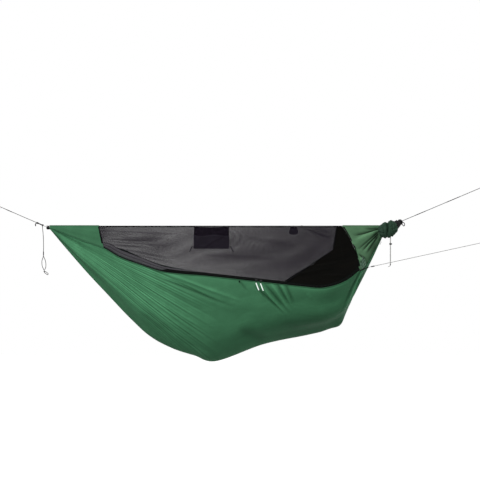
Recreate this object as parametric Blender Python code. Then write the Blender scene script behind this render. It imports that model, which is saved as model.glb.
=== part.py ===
# Camping hammock with gathered ends, a zipped insect net on a ridgeline and its rigging.
# Metres, +Z up. X runs along the ridgeline from left to right, -Y is the side with the zip.
# The origin is the middle of the left buckle's rope bar, where the strap round a tree holds it.

import math

import bmesh
import bpy
from mathutils import Matrix, Vector

# Main sizes of the fabric
RIDGE_LENGTH = 2.64
BODY_DEPTH = 1.05
HALF_WIDTH = 0.44
FABRIC = 0.003
SECTION_POWER = 1.18
NECK_LENGTH = 0.021
NECK_HALF_WIDTH = 0.006
NECK_TOP_DROP = 0.012
NECK_DEPTH = 0.009

# Main folds of the fabric
PLEAT_HEIGHT = 0.012
PLEAT_REACH = 0.35
PLEATS_ACROSS = 4
TENSION_FOLD = 0.02
ROOF_SAG = 0.03
BORDER_BULGE = 0.03

# Suspension and cords
LEFT_RUN = 0.437
LEFT_RISE = 0.177
RIGHT_RUN = 0.8
RIGHT_RISE = 0.325
LINE_RADIUS = 0.0015
SPLICE_RADIUS = 0.0024
SPLICE_START = 0.003
SPLICE_TAPER = 0.012
END_LOOP_RADIUS = 0.00125
END_LOOP_REACH = 0.036
RIDGELINE_RADIUS = 0.0025
GUY_RADIUS = 0.001
GUY_RUN = 0.85
GUY_OUT = 0.27
GUY_RISE = 0.194

# Edges and zip
HEM_RADIUS = 0.004
BAND_WIDTH = 0.015
ZIP_START_SHARE = 0.527
SLIDER_SPACING = 0.034

# Clearances
CLEAR = 0.0004
SEAM_GAP = 0.0005
RIM_GAP = 0.0015
ROOF_START = 0.008
DOOR_SEAM_GAP = 0.0016
SLEEVE_CLEAR = 0.0005

# Buckles at the tree ends
BUCKLE_BAR = 0.006
BUCKLE_ROPE_WINDOW = 0.01
BUCKLE_STRAP_WINDOW = 0.009
BUCKLE_HALF_WIDTH = 0.018
BUCKLE_SIDE = 0.005
BUCKLE_THICKNESS = 0.005
EYE_RADIUS = 0.0062
EYE_LENGTH = 0.045

# Sections of the body from the left gather to the right one, between the two necks. Each gives the
# near hem (along, out, down), the keel (along, down) and the far hem (along, out, down), as shares
# of RIDGE_LENGTH, HALF_WIDTH and BODY_DEPTH.
SECTIONS = [
    ((0.053, 0.127, 0.059), (0.048, 0.150), (0.053, 0.127, 0.055)),
    ((0.106, 0.227, 0.111), (0.112, 0.334), (0.106, 0.227, 0.100)),
    ((0.170, 0.340, 0.167), (0.177, 0.509), (0.160, 0.340, 0.142)),
    ((0.218, 0.455, 0.233), (0.242, 0.683), (0.216, 0.477, 0.178)),
    ((0.278, 0.590, 0.286), (0.302, 0.822), (0.271, 0.610, 0.241)),
    ((0.340, 0.700, 0.333), (0.367, 0.910), (0.328, 0.727, 0.295)),
    ((0.404, 0.770, 0.353), (0.432, 0.962), (0.395, 0.800, 0.330)),
    ((0.470, 0.830, 0.365), (0.497, 1.003), (0.464, 0.860, 0.357)),
    ((0.606, 0.915, 0.402), (0.636, 0.880), (0.613, 0.910, 0.403)),
    ((0.742, 1.000, 0.439), (0.769, 0.806), (0.753, 0.890, 0.431)),
    ((0.807, 0.990, 0.448), (0.822, 0.769), (0.823, 0.800, 0.395)),
    ((0.868, 0.900, 0.403), (0.867, 0.696), (0.879, 0.640, 0.309)),
    ((0.912, 0.770, 0.326), (0.888, 0.600), (0.915, 0.470, 0.220)),
    ((0.927, 0.750, 0.306), (0.911, 0.470), (0.938, 0.360, 0.165)),
    ((0.956, 0.430, 0.200), (0.942, 0.317), (0.961, 0.220, 0.110)),
    ((0.980, 0.160, 0.105), (0.972, 0.160), (0.980, 0.100, 0.062)),
]
FIRST, LAST = 0, len(SECTIONS) + 3
ZIP_STRAIGHT = (9, 11)
LEFT_BORDER, RIGHT_BORDER, TIE_OUT = 4, 14, 15
HOOD_START, HOOD_END = 1.5, 17.5
LEFT_BORDER_TOP = 0.151
RIGHT_BORDER_TOP = 0.869

# The net meets the dark panel of the door at these stations, from the ridgeline down to the zip.
ROOF_ROWS = [0.0, 0.2, 0.4, 0.6, 0.8, 1.0]
DARK_PANEL_STATIONS = [13.65, 13.35, 13.0, 12.3, 11.2, 10.7]

BAND_ZONE = HEM_RADIUS + SEAM_GAP + 2 * (BAND_WIDTH + SEAM_GAP)
X_AXIS, Y_AXIS, Z_AXIS = Vector((1, 0, 0)), Vector((0, 1, 0)), Vector((0, 0, 1))
RIDGE_START = Vector((LEFT_RUN, 0, -LEFT_RISE))

for old in list(bpy.data.objects):
    bpy.data.objects.remove(old)

ridge_frame = bpy.data.objects.new("ridge_frame", None)
ridge_frame.location = RIDGE_START
bpy.context.collection.objects.link(ridge_frame)


def finish(name, colour, roughness, metallic=0.0):
    """A plain material of one finish."""
    material = bpy.data.materials.new(name)
    material.use_nodes = True
    shader = material.node_tree.nodes["Principled BSDF"]
    shader.inputs["Base Color"].default_value = (*colour, 1)
    shader.inputs["Roughness"].default_value = roughness
    shader.inputs["Metallic"].default_value = metallic
    return material


GREEN = finish("green_fabric", (0.055, 0.155, 0.085), 0.75)
HOOD_GREEN = finish("hood_fabric", (0.06, 0.17, 0.1), 0.75)
NET = finish("insect_net", (0.09, 0.09, 0.1), 0.8)
BLACK = finish("black_fabric", (0.006, 0.006, 0.007), 0.7)
BAND = finish("zip_band", (0.008, 0.012, 0.009), 0.6)
CORD = finish("grey_cord", (0.3, 0.3, 0.28), 0.7)
BLACK_CORD = finish("black_cord", (0.01, 0.01, 0.01), 0.7)
PALE_CORD = finish("pale_cord", (0.6, 0.6, 0.56), 0.6)
PULL = finish("pull", (0.8, 0.8, 0.78), 0.5)
PLASTIC = finish("black_plastic", (0.012, 0.012, 0.013), 0.45)
ALLOY = finish("alloy", (0.55, 0.56, 0.57), 0.35, 1.0)
SACK = finish("sack_fabric", (0.028, 0.06, 0.04), 0.8)


def lerp(start, end, share):
    return start + (end - start) * share


def add_piece(name, data, material, pivot=None, parent=ridge_frame):
    """An object whose data is given in its parent's frame, with its origin moved to the pivot."""
    pivot = pivot or Vector((0, 0, 0))
    data.transform(Matrix.Translation(-pivot))
    data.materials.append(material)
    piece = bpy.data.objects.new(name, data)
    piece.location = pivot
    piece.parent = parent
    bpy.context.collection.objects.link(piece)
    return piece


def closed_mesh(name, points, faces, crease_degrees=40):
    mesh = bpy.data.meshes.new(name)
    mesh.from_pydata([tuple(p) for p in points], [], faces)
    work = bmesh.new()
    work.from_mesh(mesh)
    bmesh.ops.recalc_face_normals(work, faces=work.faces)
    work.to_mesh(mesh)
    work.free()
    mesh.shade_smooth()
    mesh.set_sharp_from_angle(angle=math.radians(crease_degrees))
    return mesh


def skin(name, rows, inner_point, material, thickness=FABRIC, pivot=None):
    """A sheet through the rows of points, thickened away from the inner point."""
    wide = len(rows[0])
    points = [p for row in rows for p in row]
    faces = [
        (i * wide + j, (i + 1) * wide + j, (i + 1) * wide + j + 1, i * wide + j + 1)
        for i in range(len(rows) - 1)
        for j in range(wide - 1)
    ]
    mesh = bpy.data.meshes.new(name)
    mesh.from_pydata([tuple(p) for p in points], [], faces)
    mesh.update()
    facing = sum((f.center - inner_point).dot(f.normal) * f.area for f in mesh.polygons)
    if facing < 0:
        mesh.flip_normals()
    mesh.shade_smooth()
    piece = add_piece(name, mesh, material, pivot)
    wall = piece.modifiers.new("wall", "SOLIDIFY")
    wall.thickness = thickness
    wall.offset = 1
    return piece


def tube(name, points, radius, material, closed=False, pivot=None, sides=2, swells=None):
    """A round cord along the points; swells are shares of the radius at the points."""
    curve = bpy.data.curves.new(name, "CURVE")
    curve.dimensions = "3D"
    spline = curve.splines.new("POLY")
    spline.points.add(len(points) - 1)
    for knot, point, swell in zip(spline.points, points, swells or [1] * len(points)):
        knot.co = (*point, 1)
        knot.radius = swell
    spline.use_cyclic_u = closed
    curve.bevel_depth = radius
    curve.bevel_resolution = sides
    curve.use_fill_caps = True
    return add_piece(name, curve, material, pivot)


def turned(name, outline, start, direction, material, pivot=None, steps=12):
    """An outline of (radius, distance) turned about a line: closed, or with both ends on the line."""
    turn = direction.normalized().to_track_quat("Z", "Y").to_matrix()
    solid = outline[0][0] == 0
    rim = outline[1:-1] if solid else outline
    count = len(rim)
    points = []
    for step in range(steps):
        angle = math.tau * step / steps
        for radius, distance in rim:
            local = Vector((radius * math.cos(angle), radius * math.sin(angle), distance))
            points.append(start + turn @ local)
    spans = list(zip(range(count - 1), range(1, count)))
    if not solid:
        spans.append((count - 1, 0))
    faces = [
        (i * count + j, i * count + k, ((i + 1) % steps) * count + k, ((i + 1) % steps) * count + j)
        for i in range(steps)
        for j, k in spans
    ]
    if solid:
        faces.append([i * count for i in range(steps)])
        faces.append([i * count + count - 1 for i in range(steps)])
    return add_piece(name, closed_mesh(name, points, faces), material, pivot)


def sleeve(name, start, direction, bore, outer, length, material, pivot=None, parallel_bevel=0.0008):
    """A hollow round sleeve from the start along the direction."""
    edge = parallel_bevel
    outline = [
        (bore, 0),
        (outer - edge, 0),
        (outer, edge),
        (outer, length - edge),
        (outer - edge, length),
        (bore, length),
    ]
    return turned(name, outline, start, direction, material, pivot)


def ball(name, centre, half_sizes, material, pivot=None, level=2, shape=None):
    """A rounded lump, such as a knot or a bead; shape may move its points."""
    work = bmesh.new()
    bmesh.ops.create_icosphere(work, subdivisions=level, radius=1)
    for vert in work.verts:
        unit = vert.co.normalized()
        grown = shape(unit) if shape else 1.0
        vert.co = centre + Vector([unit[k] * half_sizes[k] * grown for k in range(3)])
    mesh = bpy.data.meshes.new(name)
    work.to_mesh(mesh)
    work.free()
    mesh.shade_smooth()
    return add_piece(name, mesh, material, pivot)


def block(name, centre, axes, half_sizes, material, pivot=None, bevel=0.0):
    """A box with its own axes, with bevelled edges where asked."""
    work = bmesh.new()
    bmesh.ops.create_cube(work, size=2)
    for vert in work.verts:
        vert.co = centre + sum((axes[k] * vert.co[k] * half_sizes[k] for k in range(3)), Vector())
    work.normal_update()
    bmesh.ops.recalc_face_normals(work, faces=work.faces)
    if bevel:
        bmesh.ops.bevel(work, geom=work.edges[:], offset=bevel, segments=1, affect="EDGES")
    mesh = bpy.data.meshes.new(name)
    work.to_mesh(mesh)
    work.free()
    return add_piece(name, mesh, material, pivot)


def cut(piece, cutter, operation="DIFFERENCE"):
    """A live Boolean by a hidden object."""
    cutter.hide_render = True
    cutter.display_type = "WIRE"
    change = piece.modifiers.new("cut", "BOOLEAN")
    change.operation = operation
    change.object = cutter


def catmull(before, start, end, after, share):
    return 0.5 * (
        2 * start
        + (end - before) * share
        + (2 * before - 5 * start + 4 * end - after) * share**2
        + (3 * start - before - 3 * end + after) * share**3
    )


def neck_points(along):
    near = Vector((along, -NECK_HALF_WIDTH, -NECK_TOP_DROP))
    keel = Vector((along, 0, -NECK_TOP_DROP - NECK_DEPTH))
    far = Vector((along, NECK_HALF_WIDTH, -NECK_TOP_DROP))
    return near, keel, far


def section_points(section):
    near, keel, far = section
    return (
        Vector((near[0] * RIDGE_LENGTH, -near[1] * HALF_WIDTH, -near[2] * BODY_DEPTH)),
        Vector((keel[0] * RIDGE_LENGTH, 0, -keel[1] * BODY_DEPTH)),
        Vector((far[0] * RIDGE_LENGTH, far[1] * HALF_WIDTH, -far[2] * BODY_DEPTH)),
    )


LOFT = [neck_points(-NECK_LENGTH / 2), neck_points(NECK_LENGTH / 2)]
LOFT += [section_points(section) for section in SECTIONS]
LOFT += [neck_points(RIDGE_LENGTH - NECK_LENGTH / 2), neck_points(RIDGE_LENGTH + NECK_LENGTH / 2)]


def loft(line, station):
    """A point of the near hem, the keel or the far hem at a station of the loft."""
    first = min(int(station), LAST - 1)
    share = station - first
    knots = [LOFT[min(max(first + k, FIRST), LAST)][line] for k in (-1, 0, 1, 2)]
    return catmull(*knots, share)


def near_edge(station):
    start, end = ZIP_STRAIGHT
    if start <= station <= end:
        return lerp(LOFT[start][0], LOFT[end][0], (station - start) / (end - start))
    return loft(0, station)


def far_edge(station):
    return loft(2, station)


def keel(station):
    return loft(1, station)


def fold_height(station, across, low):
    """How far the main folds stand out: pleats from both gathers and one long tension fold."""
    reach = max(0.0, min(low.x, RIDGE_LENGTH - low.x) - NECK_LENGTH / 2)
    swell = reach / PLEAT_REACH * math.exp(1 - reach / PLEAT_REACH)
    height = PLEAT_HEIGHT * swell * (math.cos(math.pi * PLEATS_ACROSS * across) - 1)
    fold_start, fold_end = 6.5, 10.5
    if fold_start < station < fold_end:
        share = (station - fold_start) / (fold_end - fold_start)
        crest = lerp(-0.97, -0.7, share)
        width = 0.08
        rise = math.exp(-(((across - crest) / width) ** 2))
        dip = math.exp(-(((across - crest - 2 * width) / width) ** 2))
        height += TENSION_FOLD * math.sin(math.pi * share) * (rise - 0.7 * dip)
    return height * (1 - abs(across) ** 6)


def body_point(station, across):
    """A point of the body fabric: across runs from -1 at the near hem over the keel to 1."""
    edge = near_edge(station) if across < 0 else far_edge(station)
    low = keel(station)
    swing = abs(across) * math.pi / 2
    out = math.sin(swing) ** SECTION_POWER
    rise = 1 - abs(math.cos(swing)) ** SECTION_POWER
    point = Vector((lerp(low.x, edge.x, rise), lerp(low.y, edge.y, out), lerp(low.z, edge.z, rise)))
    middle = (near_edge(station) + far_edge(station)) / 2
    outward = Vector((0, point.y - middle.y, point.z - middle.z))
    if outward.length > 0:
        point += outward.normalized() * fold_height(station, across, low)
    return point


def hem_direction(side, station):
    edge = near_edge if side < 0 else far_edge
    return (edge(min(station + 0.05, LAST)) - edge(max(station - 0.05, FIRST))).normalized()


def rim_share(side, station):
    """How far across the body fabric starts, so that it leaves the seam gap beside the hem."""
    edge = near_edge(station) if side < 0 else far_edge(station)
    along = hem_direction(side, station)
    low, high = 0.5, 1.0
    for _ in range(16):
        share = (low + high) / 2
        offset = body_point(station, side * share) - edge
        if offset.cross(along).length > HEM_RADIUS + RIM_GAP:
            low = share
        else:
            high = share
    return low


ACROSS = 16
ZIP_STATIONS = [ZIP_STRAIGHT[0], 10, DARK_PANEL_STATIONS[-1], ZIP_STRAIGHT[1]]
LEFT_STATIONS = [LEFT_BORDER + k / 2 for k in range(2 * (ZIP_STRAIGHT[0] - LEFT_BORDER))]
RIGHT_STATIONS = [ZIP_STRAIGHT[1] + k / 2 for k in range(1, 2 * (RIGHT_BORDER - ZIP_STRAIGHT[1]) + 1)]
NET_STATIONS = LEFT_STATIONS + ZIP_STATIONS + RIGHT_STATIONS
LEFT_HOOD_STATIONS = [HOOD_START + k / 2 for k in range(int(2 * (LEFT_BORDER - HOOD_START)) + 1)]
RIGHT_HOOD_STATIONS = [RIGHT_BORDER + k / 2 for k in range(int(2 * (HOOD_END - RIGHT_BORDER)) + 1)]
HEM_STATIONS = LEFT_HOOD_STATIONS[:-1] + NET_STATIONS + RIGHT_HOOD_STATIONS[1:]
BODY_STATIONS = [FIRST, FIRST + 1] + HEM_STATIONS + [LAST - 1, LAST]
BODY_PANELS = [
    ("body_left_end", FIRST, 4.5),
    ("body_left", 4.5, 6.5),
    ("body_shell", 6.5, DARK_PANEL_STATIONS[-1]),
    ("body_right", DARK_PANEL_STATIONS[-1], LAST),
]
CABIN = Vector((RIDGE_LENGTH / 2, 0, -BODY_DEPTH / 3))


def build_body():
    rows = {}
    for station in BODY_STATIONS:
        hemmed = HOOD_START <= station <= HOOD_END
        near_share = rim_share(-1, station) if hemmed else 1
        far_share = rim_share(1, station) if hemmed else 1
        shares = [2 * k / ACROSS - 1 for k in range(ACROSS + 1)]
        places = [share * (near_share if share < 0 else far_share) for share in shares]
        rows[station] = [body_point(station, place) for place in places]
    for name, start, end in BODY_PANELS:
        panel = [rows[station] for station in BODY_STATIONS if start <= station <= end]
        if start > FIRST:
            panel[0] = [p + X_AXIS * SEAM_GAP / 2 for p in panel[0]]
        if end < LAST:
            panel[-1] = [p - X_AXIS * SEAM_GAP / 2 for p in panel[-1]]
        skin(name, panel, CABIN, GREEN)
    tube("near_hem", [near_edge(s) for s in HEM_STATIONS], HEM_RADIUS, GREEN)
    tube("far_hem", [far_edge(s) for s in HEM_STATIONS], HEM_RADIUS, GREEN)


def ridge_along(station):
    """Where the roof's line of a station starts on the ridgeline."""
    edge = near_edge(station).x
    left, right = near_edge(LEFT_BORDER).x, near_edge(RIGHT_BORDER).x
    left_top, right_top = LEFT_BORDER_TOP * RIDGE_LENGTH, RIGHT_BORDER_TOP * RIDGE_LENGTH
    if edge < left:
        return edge * left_top / left
    if edge < right:
        return lerp(left_top, right_top, (edge - left) / (right - left))
    return lerp(right_top, RIDGE_LENGTH, (edge - right) / (RIDGE_LENGTH - right))


def roof_line(side, station):
    """The ridge and hem points, the direction down the roof and its slant to the hem."""
    edge = near_edge(station) if side < 0 else far_edge(station)
    top = Vector((ridge_along(station), 0, 0))
    down = (edge - top).normalized()
    slant = 1 / down.cross(hem_direction(side, station)).length
    return top, edge, down, slant


def roof_point(side, station, share):
    """A point of the roof between the ridgeline (0) and the top of the zip band (1)."""
    top, edge, down, slant = roof_line(side, station)
    length = (edge - top).length
    reach = lerp(ROOF_START, length - min(BAND_ZONE * slant, length / 4), share)
    inward = X_AXIS.cross(down).normalized() * -side
    bow = 4 * share * (1 - share)
    near_border = max(0.0, 1 - abs(station - RIGHT_BORDER))
    sag = ROOF_SAG * length * bow
    return top + down * reach + inward * sag + X_AXIS * (BORDER_BULGE * bow * near_border)


def band_point(side, station, from_hem):
    """A point of the roof at a distance square from the hem's middle."""
    top, edge, down, slant = roof_line(side, station)
    return edge - down * from_hem * slant


def part_columns(rows, gap):
    """Draws the first and last row of points in along X, to leave a gap to the neighbours."""
    rows[0] = [p + X_AXIS * gap / 2 for p in rows[0]]
    rows[-1] = [p - X_AXIS * gap / 2 for p in rows[-1]]
    return rows


def hood_rows(stations):
    """Rows of a hood: up the near side, over the ridgeline and down the far side."""
    apex = RIDGELINE_RADIUS * 1.9
    shoulder = RIDGELINE_RADIUS * 1.35
    rows = []
    for station in stations:
        near = [band_point(-1, station, HEM_RADIUS + RIM_GAP)]
        near += [roof_point(-1, station, share) for share in reversed(ROOF_ROWS[1:])]
        far = [roof_point(1, station, share) for share in ROOF_ROWS[1:]]
        far += [band_point(1, station, HEM_RADIUS + RIM_GAP)]
        along = ridge_along(station)
        top = [Vector((along, y, z)) for y, z in ((-shoulder, 0), (0, apex), (shoulder, 0))]
        rows.append(near + top + far)
    return rows


def build_hoods():
    skin("left_hood", part_columns(hood_rows(LEFT_HOOD_STATIONS), DOOR_SEAM_GAP), CABIN, HOOD_GREEN)
    skin("right_hood", part_columns(hood_rows(RIGHT_HOOD_STATIONS), DOOR_SEAM_GAP), CABIN, HOOD_GREEN)


def build_net():
    """The far net, the door's net and dark panel, and the two halves of the zip band."""
    far_rows = []
    for station in NET_STATIONS:
        row = [roof_point(1, station, share) for share in ROOF_ROWS]
        far_rows.append(row + [band_point(1, station, HEM_RADIUS + SEAM_GAP)])
    skin("far_net", part_columns(far_rows, DOOR_SEAM_GAP), CABIN, NET)

    meet = DARK_PANEL_STATIONS[-1]
    net_rows = []
    for station in [s for s in NET_STATIONS if s <= meet]:
        share = (station - LEFT_BORDER) / (meet - LEFT_BORDER)
        places = [lerp(LEFT_BORDER, border, share) for border in DARK_PANEL_STATIONS]
        net_rows.append([roof_point(-1, s, row) for s, row in zip(places, ROOF_ROWS)])
    net_rows[0] = [p + X_AXIS * DOOR_SEAM_GAP / 2 for p in net_rows[0]]
    net_rows[-1] = [p - X_AXIS * DOOR_SEAM_GAP / 2 for p in net_rows[-1]]
    skin("door_net", net_rows, CABIN, NET)

    dark_rows = []
    for station in [s for s in NET_STATIONS if s >= meet]:
        share = (RIGHT_BORDER - station) / (RIGHT_BORDER - meet)
        places = [lerp(RIGHT_BORDER, border, share) for border in DARK_PANEL_STATIONS]
        dark_rows.append([roof_point(-1, s, row) for s, row in zip(places, ROOF_ROWS)])
    dark_rows[0] = [p + X_AXIS * DOOR_SEAM_GAP / 2 for p in dark_rows[0]]
    dark_rows[-1] = [p - X_AXIS * DOOR_SEAM_GAP / 2 for p in dark_rows[-1]]
    skin("door_dark_panel", dark_rows, CABIN, BLACK)

    low_start = HEM_RADIUS + SEAM_GAP
    low_end = low_start + BAND_WIDTH
    high_start = low_end + SEAM_GAP
    high_end = BAND_ZONE - SEAM_GAP
    for name, start, end in (
        ("zip_lower_band", low_start, low_end),
        ("zip_upper_band", high_start, high_end),
    ):
        rows = [[band_point(-1, s, q) for q in (start, end)] for s in NET_STATIONS]
        skin(name, part_columns(rows, DOOR_SEAM_GAP), CABIN, BAND)


def zip_frame(distance):
    """A place on the lower zip band's face, with its along, up and outward directions."""
    start, end = near_edge(ZIP_STRAIGHT[0]), near_edge(ZIP_STRAIGHT[1])
    along = (end - start).normalized()
    edge = start + along * distance
    up = -Vector((0, edge.y, edge.z)).normalized()
    up = (up - along * up.dot(along)).normalized()
    out = along.cross(up).normalized()
    if out.y > 0:
        out = -out
    face = edge + up * (HEM_RADIUS + SEAM_GAP + BAND_WIDTH / 2) + out * (FABRIC + CLEAR)
    return face, along, up, out


SLIDER_LENGTH = 0.016
SLIDER_WIDTH = 0.011
SLIDER_HEIGHT = 0.004
BRIDGE_HEIGHT = 0.006
BRIDGE_BAR = 0.0016
PULL_RING = 0.0036
PULL_WIRE = 0.0009
PULL_NECK_LENGTH = 0.022
PULL_NECK_WIDTH = 0.0036
PULL_NECK_THICKNESS = 0.0022
PULL_LENGTH = 0.064
PULL_WIDTH = 0.008
PULL_THICKNESS = 0.003
PULL_LEAN = 28
PULL_TILT = 20


def build_slider(name, distance):
    """A slider with a bridge along its back, and its pull, whose ring hangs on the bridge."""
    face, along, up, out = zip_frame(distance)
    half = (SLIDER_LENGTH / 2, SLIDER_WIDTH / 2, SLIDER_HEIGHT / 2)
    axes = (along, up, out)
    middle = face + out * SLIDER_HEIGHT / 2
    slider = block(f"{name}_slider", middle, axes, half, ALLOY, middle, 0.0008)
    bar_height = SLIDER_HEIGHT + BRIDGE_HEIGHT
    post_half = (BRIDGE_BAR / 2, BRIDGE_BAR / 2, (BRIDGE_HEIGHT + 0.001) / 2)
    for number, shift in enumerate((-1, 1)):
        foot = face + along * shift * (SLIDER_LENGTH / 2 - 0.002)
        centre = foot + out * (SLIDER_HEIGHT - 0.001 + post_half[2])
        post = block(f"{name}_post_{number}", centre, axes, post_half, ALLOY, middle)
        cut(slider, post, "UNION")
    bar = face + out * bar_height
    bar_half = (SLIDER_LENGTH / 2 - 0.001, BRIDGE_BAR / 2 + 0.0002, BRIDGE_BAR / 2)
    cut(slider, block(f"{name}_bar", bar, axes, bar_half, ALLOY, middle), "UNION")

    tilt = math.radians(PULL_TILT)
    drop = -Z_AXIS * math.cos(tilt) - Y_AXIS * math.sin(tilt)
    drop = (drop - along * along.dot(drop)).normalized()
    ring_centre = bar + drop * (PULL_RING - PULL_WIRE - BRIDGE_BAR / 2 - 2 * CLEAR)
    turns = [math.tau * k / 6 for k in range(6)]
    wire = [(PULL_RING + PULL_WIRE * math.cos(a), PULL_WIRE * math.sin(a)) for a in turns]
    lean = math.radians(PULL_LEAN)
    hang = drop * math.cos(lean) + along * math.sin(lean)
    flat = along * math.cos(lean) - drop * math.sin(lean)
    thick = hang.cross(flat)
    neck_end = ring_centre + drop * (PULL_RING + PULL_NECK_LENGTH)
    half_neck = (PULL_NECK_LENGTH / 2 + 0.002, PULL_NECK_WIDTH / 2, PULL_NECK_THICKNESS / 2)
    neck_middle = neck_end - drop * (half_neck[0] - 0.002)
    tab_centre = neck_end + hang * PULL_LENGTH / 2
    half_tab = (PULL_LENGTH / 2, PULL_WIDTH / 2, PULL_THICKNESS / 2)
    pull = block(f"{name}_pull", tab_centre, (hang, flat, thick), half_tab, PULL, bar, 0.001)
    neck_axes = (drop, along, drop.cross(along))
    cut(pull, block(f"{name}_neck", neck_middle, neck_axes, half_neck, PULL, bar), "UNION")
    cut(pull, turned(f"{name}_pull_ring", wire, ring_centre, along, PULL, bar), "UNION")


def build_sliders():
    run = (near_edge(ZIP_STRAIGHT[1]) - near_edge(ZIP_STRAIGHT[0])).length
    start = ZIP_START_SHARE * run
    build_slider("left", start)
    build_slider("right", start + SLIDER_SPACING)


NECK_MIDDLE = Vector((0, 0, -NECK_TOP_DROP - NECK_DEPTH / 2))
WHIP_LENGTH = 0.014
WHIP_WALL = 0.002
LOOP_HALF_WIDTH = 0.003
LOOP_IN_NECK = 0.006
HITCH_START = 0.042
HITCH_LENGTH = 0.05
HITCH_WALL = 0.0026


def rope_frame(side):
    """The gather's middle, the buckle's rope bar, the unit direction between them and its normal."""
    if side < 0:
        foot = Vector((0, 0, -NECK_TOP_DROP))
        bar = Vector((-LEFT_RUN, 0, LEFT_RISE))
    else:
        foot = Vector((RIDGE_LENGTH, 0, -NECK_TOP_DROP))
        bar = Vector((RIDGE_LENGTH + RIGHT_RUN, 0, RIGHT_RISE))
    away = (bar - foot).normalized()
    upper = Y_AXIS.cross(away)
    if upper.z < 0:
        upper = -upper
    return foot, bar, away, upper


def stadium(start, end, across, half_width, turns=6):
    """A long closed loop from start to end, with round ends."""
    along = (end - start).normalized()
    points = []
    for centre, flip in ((start, -1), (end, 1)):
        for k in range(turns + 1):
            angle = math.pi * k / turns - math.pi / 2
            reach = along * (flip * math.cos(angle)) + across * (flip * math.sin(angle))
            points.append(centre + half_width * reach)
    return points


def build_rope(side, name, splices):
    """Whipping, end loop, suspension line with its spliced stretches, rope eye and buckle of one end."""
    foot, bar, away, upper = rope_frame(side)
    ring = math.hypot(NECK_HALF_WIDTH + FABRIC, NECK_DEPTH / 2) + CLEAR
    neck = Vector((foot.x, 0, NECK_MIDDLE.z))
    start = neck - X_AXIS * WHIP_LENGTH / 2
    sleeve(f"{name}_whipping", start, X_AXIS, ring, ring + WHIP_WALL, WHIP_LENGTH, BLACK_CORD)

    inner_end = foot - away * LOOP_IN_NECK
    outer_end = foot + away * END_LOOP_REACH
    loop = stadium(inner_end, outer_end, Y_AXIS, LOOP_HALF_WIDTH)
    tube(f"{name}_end_loop", loop, END_LOOP_RADIUS, CORD, True, sides=1)

    throat = bar - away * EYE_LENGTH
    line_start = outer_end + away * (LOOP_HALF_WIDTH + END_LOOP_RADIUS + CLEAR)
    line_end = throat - away * (LINE_RADIUS + CLEAR)
    line, swells = [line_start], [1]
    for begin, length in splices:
        thick_end = begin + length - SPLICE_TAPER
        for distance, radius in (
            (begin, LINE_RADIUS),
            (begin + SPLICE_START, SPLICE_RADIUS),
            (thick_end, SPLICE_RADIUS),
            (begin + length, LINE_RADIUS),
        ):
            line.append(foot + away * distance)
            swells.append(radius / LINE_RADIUS)
    tube(f"{name}_line", line + [line_end], LINE_RADIUS, CORD, swells=swells + [1])

    eye = []
    for k in range(9):
        angle = math.pi * k / 8 - math.pi / 2
        eye.append(bar + EYE_RADIUS * (away * math.cos(angle) + upper * math.sin(angle)))
    throat_half = LINE_RADIUS * 1.6
    eye.append(lerp(bar, throat, 0.5) + upper * lerp(EYE_RADIUS, throat_half, 0.55))
    eye.append(throat + upper * throat_half)
    eye.append(throat - upper * throat_half)
    eye.append(lerp(bar, throat, 0.5) - upper * lerp(EYE_RADIUS, throat_half, 0.55))
    tube(f"{name}_eye", eye, LINE_RADIUS, CORD, True)
    build_buckle(name, bar, away, upper)


def build_buckle(name, bar, away, upper):
    """A flat buckle: the rope bar, a window, the middle bar, the strap's window, the outer bar."""
    inner = -BUCKLE_BAR / 2
    window = inner + BUCKLE_BAR
    middle = window + BUCKLE_ROPE_WINDOW
    strap = middle + BUCKLE_BAR * 0.8
    outer = strap + BUCKLE_STRAP_WINDOW
    end = outer + BUCKLE_BAR
    axes = (away, Y_AXIS, upper)
    centre = bar + away * (inner + end) / 2
    half = ((end - inner) / 2, BUCKLE_HALF_WIDTH, BUCKLE_THICKNESS / 2)
    buckle = block(f"{name}_buckle", centre, axes, half, ALLOY, bar, 0.0008)
    for number, (low, high) in enumerate(((window, middle), (strap, outer))):
        hole_half = ((high - low) / 2, BUCKLE_HALF_WIDTH - BUCKLE_SIDE, BUCKLE_THICKNESS)
        hole_centre = bar + away * (low + high) / 2
        cut(buckle, block(f"{name}_window_{number}", hole_centre, axes, hole_half, ALLOY, bar))


LEFT_SPLICE = (0.305, 0.055)
RIGHT_SPLICES = [(0.24, 0.095), (0.505, 0.115)]
TAIL_RADIUS = 0.0015
TAIL_LENGTH = 0.2
TAIL_SPLICE_LENGTH = 0.031
TAIL_EYE_LENGTH = 0.115
TAIL_EYE_HALF_WIDTH = 0.016
TAIL_LEAN = 0.009
KNOT = 0.0055


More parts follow.
